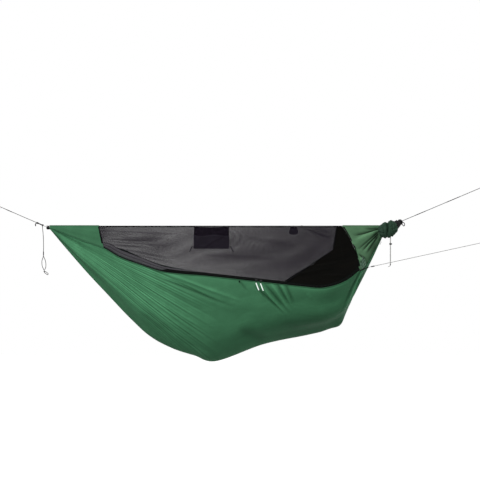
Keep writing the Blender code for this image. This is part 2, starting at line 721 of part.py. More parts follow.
def build_left_adjuster():
    """The hitch that grips the left line, its curled end, and the spare cord that hangs from it."""
    foot, bar, away, upper = rope_frame(-1)
    bore = LINE_RADIUS + SLEEVE_CLEAR
    outer = bore + HITCH_WALL
    begin = foot + away * HITCH_START
    sleeve("left_hitch", begin, away, bore, outer, HITCH_LENGTH, BLACK_CORD, begin)
    tip = begin + away * (HITCH_LENGTH + CLEAR + 0.0014)
    curl = [
        tip - upper * (0.003 + 0.0225 * share) + away * 0.006 * math.sin(math.pi * share)
        for share in [k / 8 for k in range(9)]
    ]
    tube("left_hitch_end", curl, 0.0014, BLACK_CORD, False, begin)

    sleeve_middle = begin + away * 0.006
    drop = outer / upper.z + TAIL_RADIUS * abs(away.z / away.x) + CLEAR
    top = sleeve_middle - Z_AXIS * drop
    bottom = top + Vector((TAIL_LEAN, 0, -TAIL_LENGTH))
    tail = [
        lerp(top, bottom, k / 24) + X_AXIS * 0.004 * math.sin(math.pi * k / 24)
        for k in range(25)
    ]
    tube("left_tail", tail, TAIL_RADIUS, CORD, False, begin)
    splice_top = bottom - Z_AXIS * CLEAR
    splice_outline = [
        (0, 0),
        (SPLICE_RADIUS * 0.8, 0),
        (SPLICE_RADIUS, 0.004),
        (SPLICE_RADIUS, TAIL_SPLICE_LENGTH - 0.004),
        (SPLICE_RADIUS * 0.8, TAIL_SPLICE_LENGTH),
        (0, TAIL_SPLICE_LENGTH),
    ]
    turned("left_tail_splice", splice_outline, splice_top, -Z_AXIS, BLACK_CORD, begin)
    eye_top = splice_top - Z_AXIS * (TAIL_SPLICE_LENGTH + CLEAR + TAIL_RADIUS)
    eye = []
    for k in range(20):
        turn = math.tau * k / 20
        down = TAIL_EYE_LENGTH * (1 - math.cos(turn)) / 2
        side = TAIL_EYE_HALF_WIDTH * math.sin(turn) + 0.05 * down
        eye.append(eye_top + X_AXIS * side - Z_AXIS * down)
    tube("left_tail_eye", eye, TAIL_RADIUS, CORD, True, begin)
    knot = eye_top + Vector((0.05 * TAIL_EYE_LENGTH, 0, -TAIL_EYE_LENGTH - KNOT - TAIL_RADIUS - CLEAR))
    ball("left_tail_knot", knot, (KNOT, KNOT * 0.8, KNOT), BLACK_CORD, begin)
    reach = Vector((0.8, 0, -0.6))
    across = Vector((0.6, 0, 0.8))
    half_loop = 0.005
    loop_start = knot + reach * (KNOT + TAIL_RADIUS + half_loop)
    loop = stadium(loop_start, loop_start + reach * 0.02, across, half_loop, 4)
    tube("left_tail_end_loop", loop, TAIL_RADIUS, CORD, True, begin, 1)


def build_ridgeline():
    reach = X_AXIS * (RIDGE_LENGTH / 2 + 0.012)
    middle = X_AXIS * RIDGE_LENGTH / 2
    tube("ridgeline", [middle - reach, middle, middle + reach], RIDGELINE_RADIUS, BLACK_CORD)
    where = Vector((RIDGE_LENGTH - RIDGE_KNOT_FROM_RIGHT, 0, 0))
    bore = RIDGELINE_RADIUS + SLEEVE_CLEAR
    sleeve("ridge_stop", where, X_AXIS, bore, bore + 0.0024, 0.012, BLACK_CORD, where)


RIDGE_KNOT_FROM_RIGHT = 0.667
RING_WIRE = 0.0008
RING_TOP_RADIUS = 0.0037
RING_BOTTOM_RADIUS = 0.0033
RING_DROP = 0.0075
HANG_THICKNESS = 0.002
HANG_CLEAR = 0.001
HANG_EDGE = 0.0016
ORGANISER_START = 1.139
ORGANISER_WIDTH = 0.272
ORGANISER_DROP = 0.169
POCKET_TOP = 0.052
POCKET_DEPTH = 0.014
POCKET_WALL = 0.002
GROMMET = 0.0026
GROMMET_INSET = 0.014
TIE_RADIUS = 0.001
TIE_LENGTH = 0.045
POUCH_START = 1.88
POUCH_WIDTH = 0.071
POUCH_DROP = 0.048
POUCH_THICKNESS = 0.012
POUCH_TAB = 0.012


def ridge_ring(name, along, pivot):
    """A wire ring that hangs on the ridgeline; returns the middle of its wire at the bottom."""
    points = []
    for radius, drop, first in ((RING_TOP_RADIUS, 0, 0), (RING_BOTTOM_RADIUS, RING_DROP, math.pi)):
        for k in range(9):
            angle = first + math.pi * k / 8
            out, up = radius * math.cos(angle), radius * math.sin(angle) - drop
            points.append(Vector((along, out, up)))
    tube(name, points, RING_WIRE, PLASTIC, True, pivot)
    return Vector((along, 0, -RING_DROP - RING_BOTTOM_RADIUS))


def hang_hole(name, wire, pivot):
    """A cutter for the hole that hangs on a ring's wire; returns it and the edge above the hole."""
    top = wire.z + RING_WIRE + HANG_CLEAR
    outline = [(0, -0.01), (GROMMET, -0.01), (GROMMET, 0.01), (0, 0.01)]
    centre = Vector((wire.x, 0, top - GROMMET))
    return turned(name, outline, centre, Y_AXIS, BLACK, pivot, 16), top + HANG_EDGE


def build_organiser():
    """Two rings, the back panel hung on them, the pocket on its front and two corner ties."""
    start, end = ORGANISER_START, ORGANISER_START + ORGANISER_WIDTH
    pivot = Vector(((start + end) / 2, 0, 0))
    left_wire = ridge_ring("organiser_left_ring", start + GROMMET_INSET, pivot)
    right_wire = ridge_ring("organiser_right_ring", end - GROMMET_INSET, pivot)
    pivot = Vector((pivot.x, 0, left_wire.z))
    left_hole, top = hang_hole("left_hang_hole", left_wire, pivot)
    right_hole, top = hang_hole("right_hang_hole", right_wire, pivot)
    axes = (X_AXIS, Y_AXIS, Z_AXIS)
    half = (ORGANISER_WIDTH / 2, HANG_THICKNESS / 2, ORGANISER_DROP / 2)
    middle = Vector((pivot.x, 0, top - half[2]))
    back = block("organiser_back", middle, axes, half, BLACK, pivot)
    cut(back, left_hole)
    cut(back, right_hole)

    front = -HANG_THICKNESS / 2 - CLEAR
    pocket_top = top - POCKET_TOP
    pocket_bottom = top - ORGANISER_DROP
    pocket_half = (
        ORGANISER_WIDTH / 2 + 0.003,
        POCKET_DEPTH / 2,
        (pocket_top - pocket_bottom) / 2,
    )
    pocket_middle = Vector((pivot.x, front - POCKET_DEPTH / 2, (pocket_top + pocket_bottom) / 2))
    pocket = block("organiser_pocket", pocket_middle, axes, pocket_half, BLACK, pivot)
    inner_half = (
        pocket_half[0] - POCKET_WALL,
        POCKET_DEPTH / 2,
        pocket_half[2],
    )
    inner_middle = pocket_middle + Vector((0, POCKET_WALL, POCKET_WALL))
    cut(pocket, block("pocket_inside", inner_middle, axes, inner_half, BLACK, pivot))

    for name, side in (("organiser_left_tie", -1), ("organiser_right_tie", 1)):
        corner = Vector((
            pivot.x + side * (pocket_half[0] + TIE_RADIUS + CLEAR),
            front - POCKET_DEPTH / 2,
            pocket_bottom + 0.012,
        ))
        steps = [k / 12 for k in range(13)]
        tie = [
            corner + Vector((side * 0.024 * s**1.6, 0, -TIE_LENGTH * 0.82 * s)) for s in steps
        ]
        tube(name, tie, TIE_RADIUS, BLACK_CORD, False, pivot)


def build_pouch():
    """The small pouch on its ring."""
    middle = POUCH_START + POUCH_WIDTH / 2
    pivot = Vector((middle, 0, 0))
    wire = ridge_ring("pouch_ring", middle, pivot)
    axes = (X_AXIS, Y_AXIS, Z_AXIS)
    hole, top = hang_hole("pouch_hang_hole", wire, pivot)
    half = (POUCH_WIDTH / 2, POUCH_THICKNESS / 2, POUCH_DROP / 2)
    low = top - POUCH_TAB - half[2]
    body = block("ridge_pouch", Vector((middle, 0, low)), axes, half, BLACK, pivot, 0.003)
    tab_half = (0.007, HANG_THICKNESS / 2, POUCH_TAB / 2 + 0.002)
    tab_middle = Vector((middle, 0, top - tab_half[2]))
    cut(body, block("pouch_tab", tab_middle, axes, tab_half, BLACK, pivot), "UNION")
    cut(body, hole)


SACK_ALONG = 0.104
SACK_MIDDLE = Vector((0.0, -0.125, -0.028))
SACK_HALF = (0.074, 0.043, 0.066)
SACK_PLEATS = 9
SACK_PLEAT = 0.07
MOUTH_START = Vector((0.103, -0.032, 0.02))
MOUTH_END = Vector((0.052, -0.105, -0.008))
MOUTH_RADII = (0.013, 0.026)
HITCH_CORD = 0.0016
HITCH_RADIUS = (LINE_RADIUS + CLEAR) / 0.96 + HITCH_CORD
HITCH_PITCH = 0.0048
HOOK_TURN = 50
HOOK_PLACE = 0.012
HOOK_ROUTE = [(0.124, -0.012, 0.03), (0.134, -0.022, 0.024), (0.138, -0.034, 0.012), (0.131, -0.045, 0.0)]
DRAWCORD_RADIUS = 0.001
DRAWCORD_SPREAD = 0.0022
DRAWCORD_ALONG = 0.0185
DRAWCORD_DROP = 0.202
LOCK_DROP = 0.044
LOCK_RADIUS = 0.0065
LOCK_LENGTH = 0.017
BUTTON_RADIUS = 0.0045
BUTTON_TRAVEL = 0.004


def build_sack():
    """The stuff sack: a hitch on the line, the black mouth, the bag, and the drawcord below it."""
    foot, bar, away, upper = rope_frame(1)
    base = Vector((foot.x, 0, 0))
    spot = foot + away * SACK_ALONG
    turns = 2
    steps = 12 * turns
    wraps = []
    for k in range(steps + 1):
        angle = math.tau * k / 12 + math.pi * 0.1
        reach = upper * math.cos(angle) - Y_AXIS * math.sin(angle)
        wraps.append(spot + away * HITCH_PITCH * k / 12 + reach * HITCH_RADIUS)
    mouth_axis = MOUTH_END - MOUTH_START
    length = mouth_axis.length
    small, large = MOUTH_RADII
    outline = [(0, 0), (small, 0), (large * 0.75, length * 0.5), (large, length), (0, length)]
    turned("sack_mouth", outline, base + MOUTH_START, mouth_axis, BLACK, spot, 14)
    grow = CLEAR + 0.0003
    pocket = [
        (0, -grow),
        (small + grow, -grow),
        (large * 0.75 + grow, length * 0.5),
        (large + grow, length + grow),
        (0, length + grow),
    ]
    cutter = turned("mouth_pocket", pocket, base + MOUTH_START, mouth_axis, BLACK, spot, 14)

    pull = mouth_axis.normalized()

    def crumple(unit):
        side = unit.cross(pull)
        around = math.atan2(side.z, side.y)
        return 1 + SACK_PLEAT * math.sin(SACK_PLEATS * around) * (1 - unit.dot(pull) ** 2)

    bag = ball("sack_bag", base + SACK_MIDDLE, SACK_HALF, SACK, spot, 3, crumple)
    cut(bag, cutter)

    side = (away - pull * away.dot(pull)).normalized()
    low_side = pull.cross(side) * (1 if pull.cross(side).z < 0 else -1)
    turn = math.radians(HOOK_TURN)
    reach = side * math.cos(turn) + low_side * math.sin(turn)
    thickness = lerp(small, large * 0.75, 2 * HOOK_PLACE / length)
    place = base + MOUTH_START + pull * HOOK_PLACE
    end = [place + reach * (thickness + 0.012), place + reach * (thickness + CLEAR)]
    spike = [wraps[0] + upper * 0.017 - away * 0.012, wraps[0] + upper * 0.008 - away * 0.006]
    hook = [base + Vector(point) for point in HOOK_ROUTE]
    tube("sack_hitch", spike + wraps + hook + end, HITCH_CORD, BLACK_CORD, False, spot)

    top = base + SACK_MIDDLE + Vector((DRAWCORD_ALONG, 0, -SACK_HALF[2] * 0.9))
    half_slot = (DRAWCORD_SPREAD + DRAWCORD_RADIUS + CLEAR, DRAWCORD_RADIUS + CLEAR, 0.02)
    slot_middle = top + Z_AXIS * (CLEAR - half_slot[2])
    axes = (X_AXIS, Y_AXIS, Z_AXIS)
    cut(bag, block("drawcord_slot", slot_middle, axes, half_slot, SACK, spot))
    bottom = top - Z_AXIS * DRAWCORD_DROP
    spread = X_AXIS * DRAWCORD_SPREAD
    down = [lerp(top - spread, bottom - spread, k / 12) for k in range(13)]
    turn = [
        bottom - DRAWCORD_SPREAD * Vector((math.cos(a), 0, math.sin(a)))
        for a in [math.pi * k / 6 for k in range(1, 6)]
    ]
    back = [lerp(bottom + spread, top + spread, k / 12) for k in range(13)]
    tube("sack_drawcord", down + turn + back, DRAWCORD_RADIUS, PALE_CORD, False, spot)
    knot_drop = DRAWCORD_SPREAD + DRAWCORD_RADIUS + CLEAR
    knot = bottom - Z_AXIS * (knot_drop + 0.009)
    ball("sack_cord_knot", knot, (0.004, 0.004, 0.009), BLACK_CORD, spot)
    build_cord_lock(top)


def build_cord_lock(top):
    """The cord lock: a barrel with a slot for both strands, and the button pressed into its top."""
    centre = top - Z_AXIS * (LOCK_DROP + LOCK_LENGTH / 2)
    low = centre - X_AXIS * LOCK_LENGTH / 2
    edge = 0.001
    outline = [
        (0, 0),
        (LOCK_RADIUS - edge, 0),
        (LOCK_RADIUS, edge),
        (LOCK_RADIUS, LOCK_LENGTH - edge),
        (LOCK_RADIUS - edge, LOCK_LENGTH),
        (0, LOCK_LENGTH),
    ]
    barrel = turned("cord_lock", outline, low, X_AXIS, PLASTIC, centre, 16)
    axes = (X_AXIS, Y_AXIS, Z_AXIS)
    slot_half = (
        DRAWCORD_SPREAD + DRAWCORD_RADIUS + SLEEVE_CLEAR,
        DRAWCORD_RADIUS + SLEEVE_CLEAR,
        LOCK_RADIUS * 1.5,
    )
    cut(barrel, block("cord_slot", centre, axes, slot_half, PLASTIC, centre))
    depth = LOCK_LENGTH / 2 - slot_half[0] - 0.0008
    hole = [(0, 0), (BUTTON_RADIUS, 0), (BUTTON_RADIUS, 0.02), (0, 0.02)]
    hole_start = centre + X_AXIS * (LOCK_LENGTH / 2 - depth)
    cut(barrel, turned("button_hole", hole, hole_start, X_AXIS, PLASTIC, centre, 16))
    width = BUTTON_RADIUS - SLEEVE_CLEAR
    stem_start = hole_start + X_AXIS * CLEAR
    stem_length = depth + BUTTON_TRAVEL
    stem = [
        (0, BUTTON_TRAVEL),
        (width, BUTTON_TRAVEL),
        (width, stem_length - edge),
        (width - edge, stem_length),
        (0, stem_length),
    ]
    turned("cord_lock_button", stem, stem_start, X_AXIS, PLASTIC, stem_start, 14)


TIE_LOOP_LENGTH = 0.06
TIE_LOOP_RADIUS = 0.0013
GUY_KNOT = 0.0045
TENSIONER_START = 0.034
TENSIONER_LENGTH = 0.026
TENSIONER_WALL = 0.003
GUY_LOOP_LENGTH = 0.034
GUY_LOOP_HALF_WIDTH = 0.008


def guy_frame():
    """The start of the guyline at the tie-out corner, and its unit direction."""
    start = near_edge(TIE_OUT)
    away = Vector((GUY_RUN, -GUY_OUT, GUY_RISE)).normalized()
    return start, away


def build_guyline():
    """The cord loop on the tie-out corner, the knot, the guyline, its tensioner and end loop."""
    corner, away = guy_frame()
    outside = HEM_RADIUS + TIE_LOOP_RADIUS + CLEAR
    seat = corner - Y_AXIS * (outside + 0.0008)
    flat = away.cross(Y_AXIS).normalized()
    back = (near_edge(RIGHT_BORDER) - corner).normalized()
    loop_end = seat + away * 0.012
    loop_start = seat + back * (TIE_LOOP_LENGTH - 0.012) - Y_AXIS * 0.004
    half_loop = 0.0024
    loop = stadium(loop_start, loop_end, flat, half_loop, 6)
    tube("tie_out_loop", loop, TIE_LOOP_RADIUS, BLACK_CORD, True, sides=1)
    knot = loop_end + away * (half_loop + TIE_LOOP_RADIUS + GUY_KNOT)
    ball("guyline_knot", knot, (GUY_KNOT, GUY_KNOT, GUY_KNOT), BLACK_CORD)
    start = knot + away * (GUY_KNOT + CLEAR)
    length = Vector((GUY_RUN, GUY_OUT, GUY_RISE)).length
    line = [start + away * length * k / 2 for k in range(3)]
    tube("guyline", line, GUY_RADIUS, PALE_CORD)
    bore = GUY_RADIUS + SLEEVE_CLEAR
    begin = start + away * (TENSIONER_START - 0.012)
    outer = bore + TENSIONER_WALL
    sleeve("guyline_tensioner", begin, away, bore, outer, TENSIONER_LENGTH, PLASTIC, begin)
    loop_start = start + away * (length + CLEAR + GUY_LOOP_HALF_WIDTH + GUY_RADIUS)
    loop_end = loop_start + away * GUY_LOOP_LENGTH
    loop = stadium(loop_start, loop_end, flat, GUY_LOOP_HALF_WIDTH)
    tube("guyline_end_loop", loop, GUY_RADIUS, PALE_CORD, True)


HEM_LOOP_STATION = 16.9
TOGGLE_STATION = 14.25
TOGGLE_SHARE = 0.5
ZIP_TAB_STATION = 9.7


def build_trims():
    """The loop and bead on the right hem, the toggle on the right hood, the tab under the zip."""
    loop_radius = 0.001
    edge = near_edge(HEM_LOOP_STATION)
    hang = (body_point(HEM_LOOP_STATION, -0.7) - edge).normalized()
    out = hang.cross(hem_direction(-1, HEM_LOOP_STATION)).normalized()
    if out.y > 0:
        out = -out
    across = hang.cross(out)
    start = edge + out * (HEM_RADIUS + loop_radius + CLEAR)
    loop = stadium(start, start + hang * 0.016, across, 0.0025, 4)
    tube("hem_loop", loop, loop_radius, BLACK_CORD, True, sides=1)
    bead = start + hang * (0.016 + 0.0025 + loop_radius + 0.004) + out * 0.0016
    ball("hem_bead", bead, (0.004, 0.004, 0.004), PLASTIC)

    spot = roof_point(-1, TOGGLE_STATION, TOGGLE_SHARE)
    beside = roof_point(-1, TOGGLE_STATION, TOGGLE_SHARE + 0.1)
    ahead = roof_point(-1, TOGGLE_STATION + 0.2, TOGGLE_SHARE)
    out = (ahead - spot).cross(beside - spot).normalized()
    if out.y > 0:
        out = -out
    along = (beside - spot).normalized()
    across = out.cross(along)
    centre = spot + out * (FABRIC + 0.0022 + 0.0028)
    half = (0.009, 0.0022, 0.0022)
    block("hood_toggle", centre, (along, across, out), half, BLACK_CORD, None, 0.0008)

    half = (0.006, 0.004, 0.0012)
    edge = near_edge(ZIP_TAB_STATION)
    hang = (body_point(ZIP_TAB_STATION, -0.9) - edge).normalized()
    along = hem_direction(-1, ZIP_TAB_STATION)
    across = (along - hang * hang.dot(along)).normalized()
    out = across.cross(hang)
    if out.y > 0:
        out = -out
    centre = edge + hang * (HEM_RADIUS + RIM_GAP + half[0]) + out * (FABRIC + half[2] + 3 * CLEAR)
    block("zip_tab", centre, (hang, across, out), half, BLACK_CORD, None, 0.0004)


build_body()
build_hoods()
build_net()
build_sliders()
build_rope(-1, "left", [LEFT_SPLICE])
build_rope(1, "right", RIGHT_SPLICES)
build_left_adjuster()
build_ridgeline()
build_organiser()
build_pouch()
build_sack()
build_guyline()
build_trims()
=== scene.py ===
# Camping hammock with gathered ends, a zipped insect net on a ridgeline and its rigging,
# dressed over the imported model. Metres, +Z up, the ridgeline along X, the zip on the -Y side.
import math

import bmesh
import bpy
import numpy as np
from mathutils import Matrix, Vector


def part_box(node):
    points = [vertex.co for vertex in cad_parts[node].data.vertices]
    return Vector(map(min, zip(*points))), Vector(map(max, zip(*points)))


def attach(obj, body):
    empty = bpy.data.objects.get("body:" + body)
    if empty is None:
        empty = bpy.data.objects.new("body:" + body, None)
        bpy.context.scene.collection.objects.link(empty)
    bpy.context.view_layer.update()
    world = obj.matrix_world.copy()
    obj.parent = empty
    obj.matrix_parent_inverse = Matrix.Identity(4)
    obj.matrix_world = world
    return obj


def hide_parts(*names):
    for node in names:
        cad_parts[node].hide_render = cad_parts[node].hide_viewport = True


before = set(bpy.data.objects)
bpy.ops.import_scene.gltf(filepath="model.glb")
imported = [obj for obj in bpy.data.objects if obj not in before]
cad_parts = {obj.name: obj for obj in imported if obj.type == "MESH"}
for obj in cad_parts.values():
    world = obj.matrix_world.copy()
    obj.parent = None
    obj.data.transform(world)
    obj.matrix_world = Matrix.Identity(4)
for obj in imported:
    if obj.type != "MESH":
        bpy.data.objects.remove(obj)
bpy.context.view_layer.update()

# Studio. A level camera far in front with a long lens, a white surround, two soft lamps from the
# front and above, and a pale floor below the picture that keeps the hammock's shadow.
CAMERA_PLACE = (1.9346, -12.0, -0.2862)
CAMERA_LENS = 115.4
SURROUND_LIGHT = 0.5
WHITE, BLACK = (1, 1, 1), (0, 0, 0)
# Each lamp's name, place, target, size and watts.
LAMPS = [
    ("key_lamp", (-1.6, -6.0, 4.6), (1.9, 0, -0.7), 1.6, 525),
    ("fill_lamp", (5.5, -6.5, 2.6), (2.2, 0, -0.6), 3.0, 80),
]
FLOOR_PLACE, FLOOR_SIZE = (1.93, 0, -2.32), 30
FLOOR_GREY, FLOOR_GLOW = 0.3, 0.92


def fill(tree, node, inputs):
    """Links a node's inputs to sockets, or sets their values."""
    for socket, value in inputs.items():
        if isinstance(value, bpy.types.NodeSocket):
            tree.links.new(value, node.inputs[socket])
        else:
            node.inputs[socket].default_value = value


def place(tree, kind, inputs=None, **settings):
    """A new shader node with its settings and inputs."""
    node = tree.nodes.new(kind)
    for setting, value in settings.items():
        setattr(node, setting, value)
    fill(tree, node, inputs or {})
    return node


def calc(tree, operation, *values, **settings):
    """The result of a maths node."""
    return place(tree, "ShaderNodeMath", dict(enumerate(values)), operation=operation, **settings).outputs[0]


def blend(tree, share, first, second, **settings):
    """A colour between two others, each three numbers or a socket."""
    ends = [c if isinstance(c, bpy.types.NodeSocket) else (*c, 1) for c in (first, second)]
    return place(tree, "ShaderNodeMixRGB", {0: share, 1: ends[0], 2: ends[1]}, **settings).outputs[0]


def new_finish(name):
    """A new material and its nodes."""
    finish = bpy.data.materials.new(name)
    finish.use_nodes = True
    return finish, finish.node_tree


def coat(tree, inputs):
    """Fills the inputs of a material's own shader."""
    fill(tree, tree.nodes["Principled BSDF"], inputs)


def seen_directly(tree):
    """1 where the camera, a mirror or glass looks, and 0 where only light arrives."""
    rays = place(tree, "ShaderNodeLightPath").outputs
    mirrored = calc(tree, "MAXIMUM", rays["Is Camera Ray"], rays["Is Glossy Ray"])
    return calc(tree, "MAXIMUM", mirrored, rays["Is Transmission Ray"])


def new_shape(add, **settings):
    """A basic mesh object, alone in the selection."""
    bpy.ops.object.select_all(action="DESELECT")
    add(**settings)
    return bpy.context.object


camera_data = bpy.data.cameras.new("camera")
camera_data.lens = CAMERA_LENS
camera = bpy.data.objects.new("camera", camera_data)
camera.location = CAMERA_PLACE
camera.rotation_euler = (math.pi / 2, 0, 0)
bpy.context.collection.objects.link(camera)
bpy.context.scene.camera = camera
bpy.context.scene.view_settings.view_transform = "Standard"

world = bpy.data.worlds.new("surround")
bpy.context.scene.world = world
world.use_nodes = True
tree = world.node_tree
tree.nodes.clear()
lighting, backdrop = (
    place(tree, "ShaderNodeBackground", {"Color": (*WHITE, 1), "Strength": strength}).outputs[0]
    for strength in (SURROUND_LIGHT, 1.0)
)
mixed = place(tree, "ShaderNodeMixShader", {0: seen_directly(tree), 1: lighting, 2: backdrop})
place(tree, "ShaderNodeOutputWorld", {"Surface": mixed.outputs[0]})

for name, spot, target, size, watts in LAMPS:
    lamp_data = bpy.data.lights.new(name, "AREA")
    lamp_data.size = size
    lamp_data.energy = watts
    lamp = bpy.data.objects.new(name, lamp_data)
    lamp.location = spot
    lamp.rotation_euler = (Vector(target) - Vector(spot)).to_track_quat("-Z", "Y").to_euler()
    bpy.context.collection.objects.link(lamp)

floor = new_shape(bpy.ops.mesh.primitive_plane_add, size=FLOOR_SIZE, location=FLOOR_PLACE)
floor.name = "floor"
floor_finish, tree = new_finish("pale_floor")
coat(tree, {
    "Base Color": (FLOOR_GREY, FLOOR_GREY, FLOOR_GREY, 1),
    "Roughness": 0.9,
    "Emission Color": blend(tree, seen_directly(tree), BLACK, (FLOOR_GLOW, FLOOR_GLOW, FLOOR_GLOW)),
    "Emission Strength": 1.0,
})
floor.data.materials.append(floor_finish)

# Suspension lines. Braided grey cord with dark flecks runs from each gather to a flat alloy
# buckle, goes round its rope bar as an eye and is spliced back into itself. Both lines are taut.
RIDGE_START = np.array((0.437, 0.0, -0.177))
RIDGE_LENGTH = 2.64
LEFT_BAR = np.array((0.0, 0.0, 0.0))
RIGHT_BAR = np.array((3.877, 0.0, 0.148))
LEFT_FOOT = RIDGE_START + (0, 0, -0.012)
RIGHT_FOOT = LEFT_FOOT + (RIDGE_LENGTH, 0, 0)
LINE_RADIUS = 0.0015
LINE_DRAWN = 0.0022
LINE_START = 0.04065
# Where each splice begins on its line, and its length.
LEFT_SPLICES = [(0.305, 0.055)]
RIGHT_SPLICES = [(0.24, 0.095), (0.505, 0.115)]
SPLICE_RADIUS = 0.0030
EYE_RADIUS = 0.0062
EYE_LENGTH = 0.045
# How far along an eye's arm, and how wide it is there.
EYE_ARM = ((0.3, 0.8), (0.6, 0.45), (0.85, 0.18), (1, 0))
CORD_SIDES = 10
CORD_SHARP = math.radians(55)


def unit(vectors):
    return vectors / np.linalg.norm(vectors, axis=-1, keepdims=True)


def reaches(steps):
    """How far along each point lies, from the steps between them."""
    return np.concatenate([[0], np.cumsum(steps)])


def tube_faces(columns, width, heights, closed=False):
    """Faces and texture round rings of points; width and heights measure the texture."""
    rings = len(heights) - 1 if closed else len(heights)
    faces, texture = [], []
    for i, (low, high) in enumerate(zip(heights, heights[1:])):
        start, after = i * columns, (i + 1) % rings * columns
        for j in range(columns):
            k = (j + 1) % columns
            faces.append((start + j, start + k, after + k, after + j))
            left, right = width * j / columns, width * (j + 1) / columns
            texture += [(left, low), (right, low), (right, high), (left, high)]
    return faces, texture


def build_piece(name, points, faces, texture, finish, wrapped=False):
    """A smooth mesh. A wrapped one is welded and turned to face outwards."""
    mesh = bpy.data.meshes.new(name)
    mesh.from_pydata(points.reshape(-1, 3).tolist(), [], faces)
    mesh.uv_layers.new(name="threads").data.foreach_set("uv", np.array(texture, np.float32).ravel())
    if wrapped:
        work = bmesh.new()
        work.from_mesh(mesh)
        bmesh.ops.remove_doubles(work, verts=work.verts, dist=1e-6)
        bmesh.ops.recalc_face_normals(work, faces=work.faces)
        work.to_mesh(mesh)
        work.free()
    mesh.shade_smooth()
    mesh.materials.append(finish)
    piece = bpy.data.objects.new(name, mesh)
    bpy.context.collection.objects.link(piece)
    return piece


def lay_cord(name, route, radius, finish, closed=False, sides=CORD_SIDES):
    """A round cord along the route. Its UV runs once round and, in metres, along the cord."""
    route = np.array(route, float)
    rings = len(route)
    radii = np.broadcast_to(np.array(radius, float), (rings,))
    ahead = unit(np.roll(route, -1, 0) - np.roll(route, 1, 0) if closed else np.gradient(route, axis=0))
    side = unit(np.cross(ahead[0], (0.03, 1.0, 0.02)))
    firsts = []
    for direction in ahead:
        side = unit(side - direction * side.dot(direction))
        firsts.append(side)
    firsts = np.array(firsts)
    heights = reaches(np.linalg.norm(np.diff(route, axis=0), axis=1))
    twist = 0.0
    if closed:
        twist = math.atan2(np.cross(firsts[-1], firsts[0]).dot(ahead[0]), firsts[-1].dot(firsts[0]))
        heights = np.append(heights, heights[-1] + heights[1])
    turns = math.tau * np.arange(sides) / sides + (twist * np.arange(rings) / rings)[:, None]
    seconds = np.cross(ahead, firsts)
    aim = firsts[:, None] * np.cos(turns)[..., None] + seconds[:, None] * np.sin(turns)[..., None]
    faces, texture = tube_faces(sides, 1, heights, closed)
    if not closed:
        faces += [tuple(reversed(range(sides))), tuple(range((rings - 1) * sides, rings * sides))]
        texture += [(j / sides, 0) for j in reversed(range(sides))]
        texture += [(j / sides, heights[-1]) for j in range(sides)]
    cord = build_piece(name, route[:, None] + radii[:, None, None] * aim, faces, texture, finish)
    cord.data.set_sharp_from_angle(angle=CORD_SHARP)
    return cord


def assign(piece, body_name, slot, *nodes):
    """The body that a piece rides and the nodes that it replaces; its slot is not used."""
    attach(piece, body_name)
    if nodes:
        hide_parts(*nodes)


def new_group(name, inputs, outputs):
    """A node group with number sockets, and its given values."""
    group = bpy.data.node_groups.new(name, "ShaderNodeTree")
    for direction, sockets in (("INPUT", inputs), ("OUTPUT", outputs)):
        for socket in sockets:
            group.interface.new_socket(socket, in_out=direction, socket_type="NodeSocketFloat")
    return group, place(group, "NodeGroupInput").outputs


def use_group(tree, group, **inputs):
    return place(tree, "ShaderNodeGroup", inputs, node_tree=group).outputs


def thread_lengths(tree):
    """The texture's coordinate, and its first and second number."""
    threads = place(tree, "ShaderNodeUVMap", uv_map="threads").outputs[0]
    parts = place(tree, "ShaderNodeSeparateXYZ", {0: threads}).outputs
    return threads, parts[0], parts[1]


def remap(tree, value, start=0.0, end=1.0, low=0.0, high=1.0):
    """A value that runs from start to end, turned into one from low to high."""
    inputs = {"Value": value, "From Min": start, "From Max": end, "To Min": low, "To Max": high}
    return place(tree, "ShaderNodeMapRange", inputs).outputs[0]


def noise(tree, where, scale, detail, **more):
    inputs = {"Vector": where, "Scale": scale, "Detail": detail, **more}
    return place(tree, "ShaderNodeTexNoise", inputs).outputs[0]


def bump(tree, height, depth, strength, **more):
    inputs = {"Height": height, "Distance": depth, "Strength": strength, **more}
    return place(tree, "ShaderNodeBump", inputs).outputs[0]


def wave(tree, turns):
    """A sine that repeats at each whole number."""
    return calc(tree, "SINE", calc(tree, "MULTIPLY", turns, math.tau))


braid, given = new_group("braid", ("Pitch", "Strands", "Flecks"), ("Height", "Fleck", "Groove"))
round_cord, along_cord = thread_lengths(braid)[1:]
along = calc(braid, "DIVIDE", along_cord, given["Pitch"])
around = calc(braid, "MULTIPLY", round_cord, given["Strands"])
crossing = [wave(braid, calc(braid, operation, along, around)) for operation in ("ADD", "SUBTRACT")]
height = calc(braid, "MULTIPLY_ADD", calc(braid, "MULTIPLY", *crossing), 0.5, 0.5)
tracer = place(braid, "ShaderNodeCombineXYZ", {0: around, 1: along}).outputs[0]
marks = noise(braid, tracer, 0.45, 2.0)
# The groove mask marks where painted shade falls between the strands.
place(braid, "NodeGroupOutput", {
    "Height": height,
    "Fleck": remap(braid, marks, calc(braid, "SUBTRACT", 1.0, given["Flecks"]), 1.0, 0.0, 4.0),
    "Groove": remap(braid, height, 0.0, 0.45, 1.0, 0.0),
})


def cord_finish(name, colour, fleck_colour, flecks, pitch=0.004):
    """A braided cord: crossing strands, tracer flecks and painted shade in the grooves between strands."""
    finish, tree = new_finish(name)
    weave = use_group(tree, braid, Pitch=pitch, Strands=3, Flecks=flecks)
    tone = blend(tree, weave["Fleck"], colour, fleck_colour, use_clamp=True)
    # Painted shade darkens the grooves between strands.
    groove_shade = calc(tree, "MULTIPLY", weave["Groove"], 0.55)
    coat(tree, {
        "Base Color": blend(tree, groove_shade, tone, [c * 0.35 for c in colour]),
        "Normal": bump(tree, weave["Height"], 0.0003, 0.8),
        "Roughness": 0.7,
        "Specular IOR Level": 0.12,
    })
    return finish


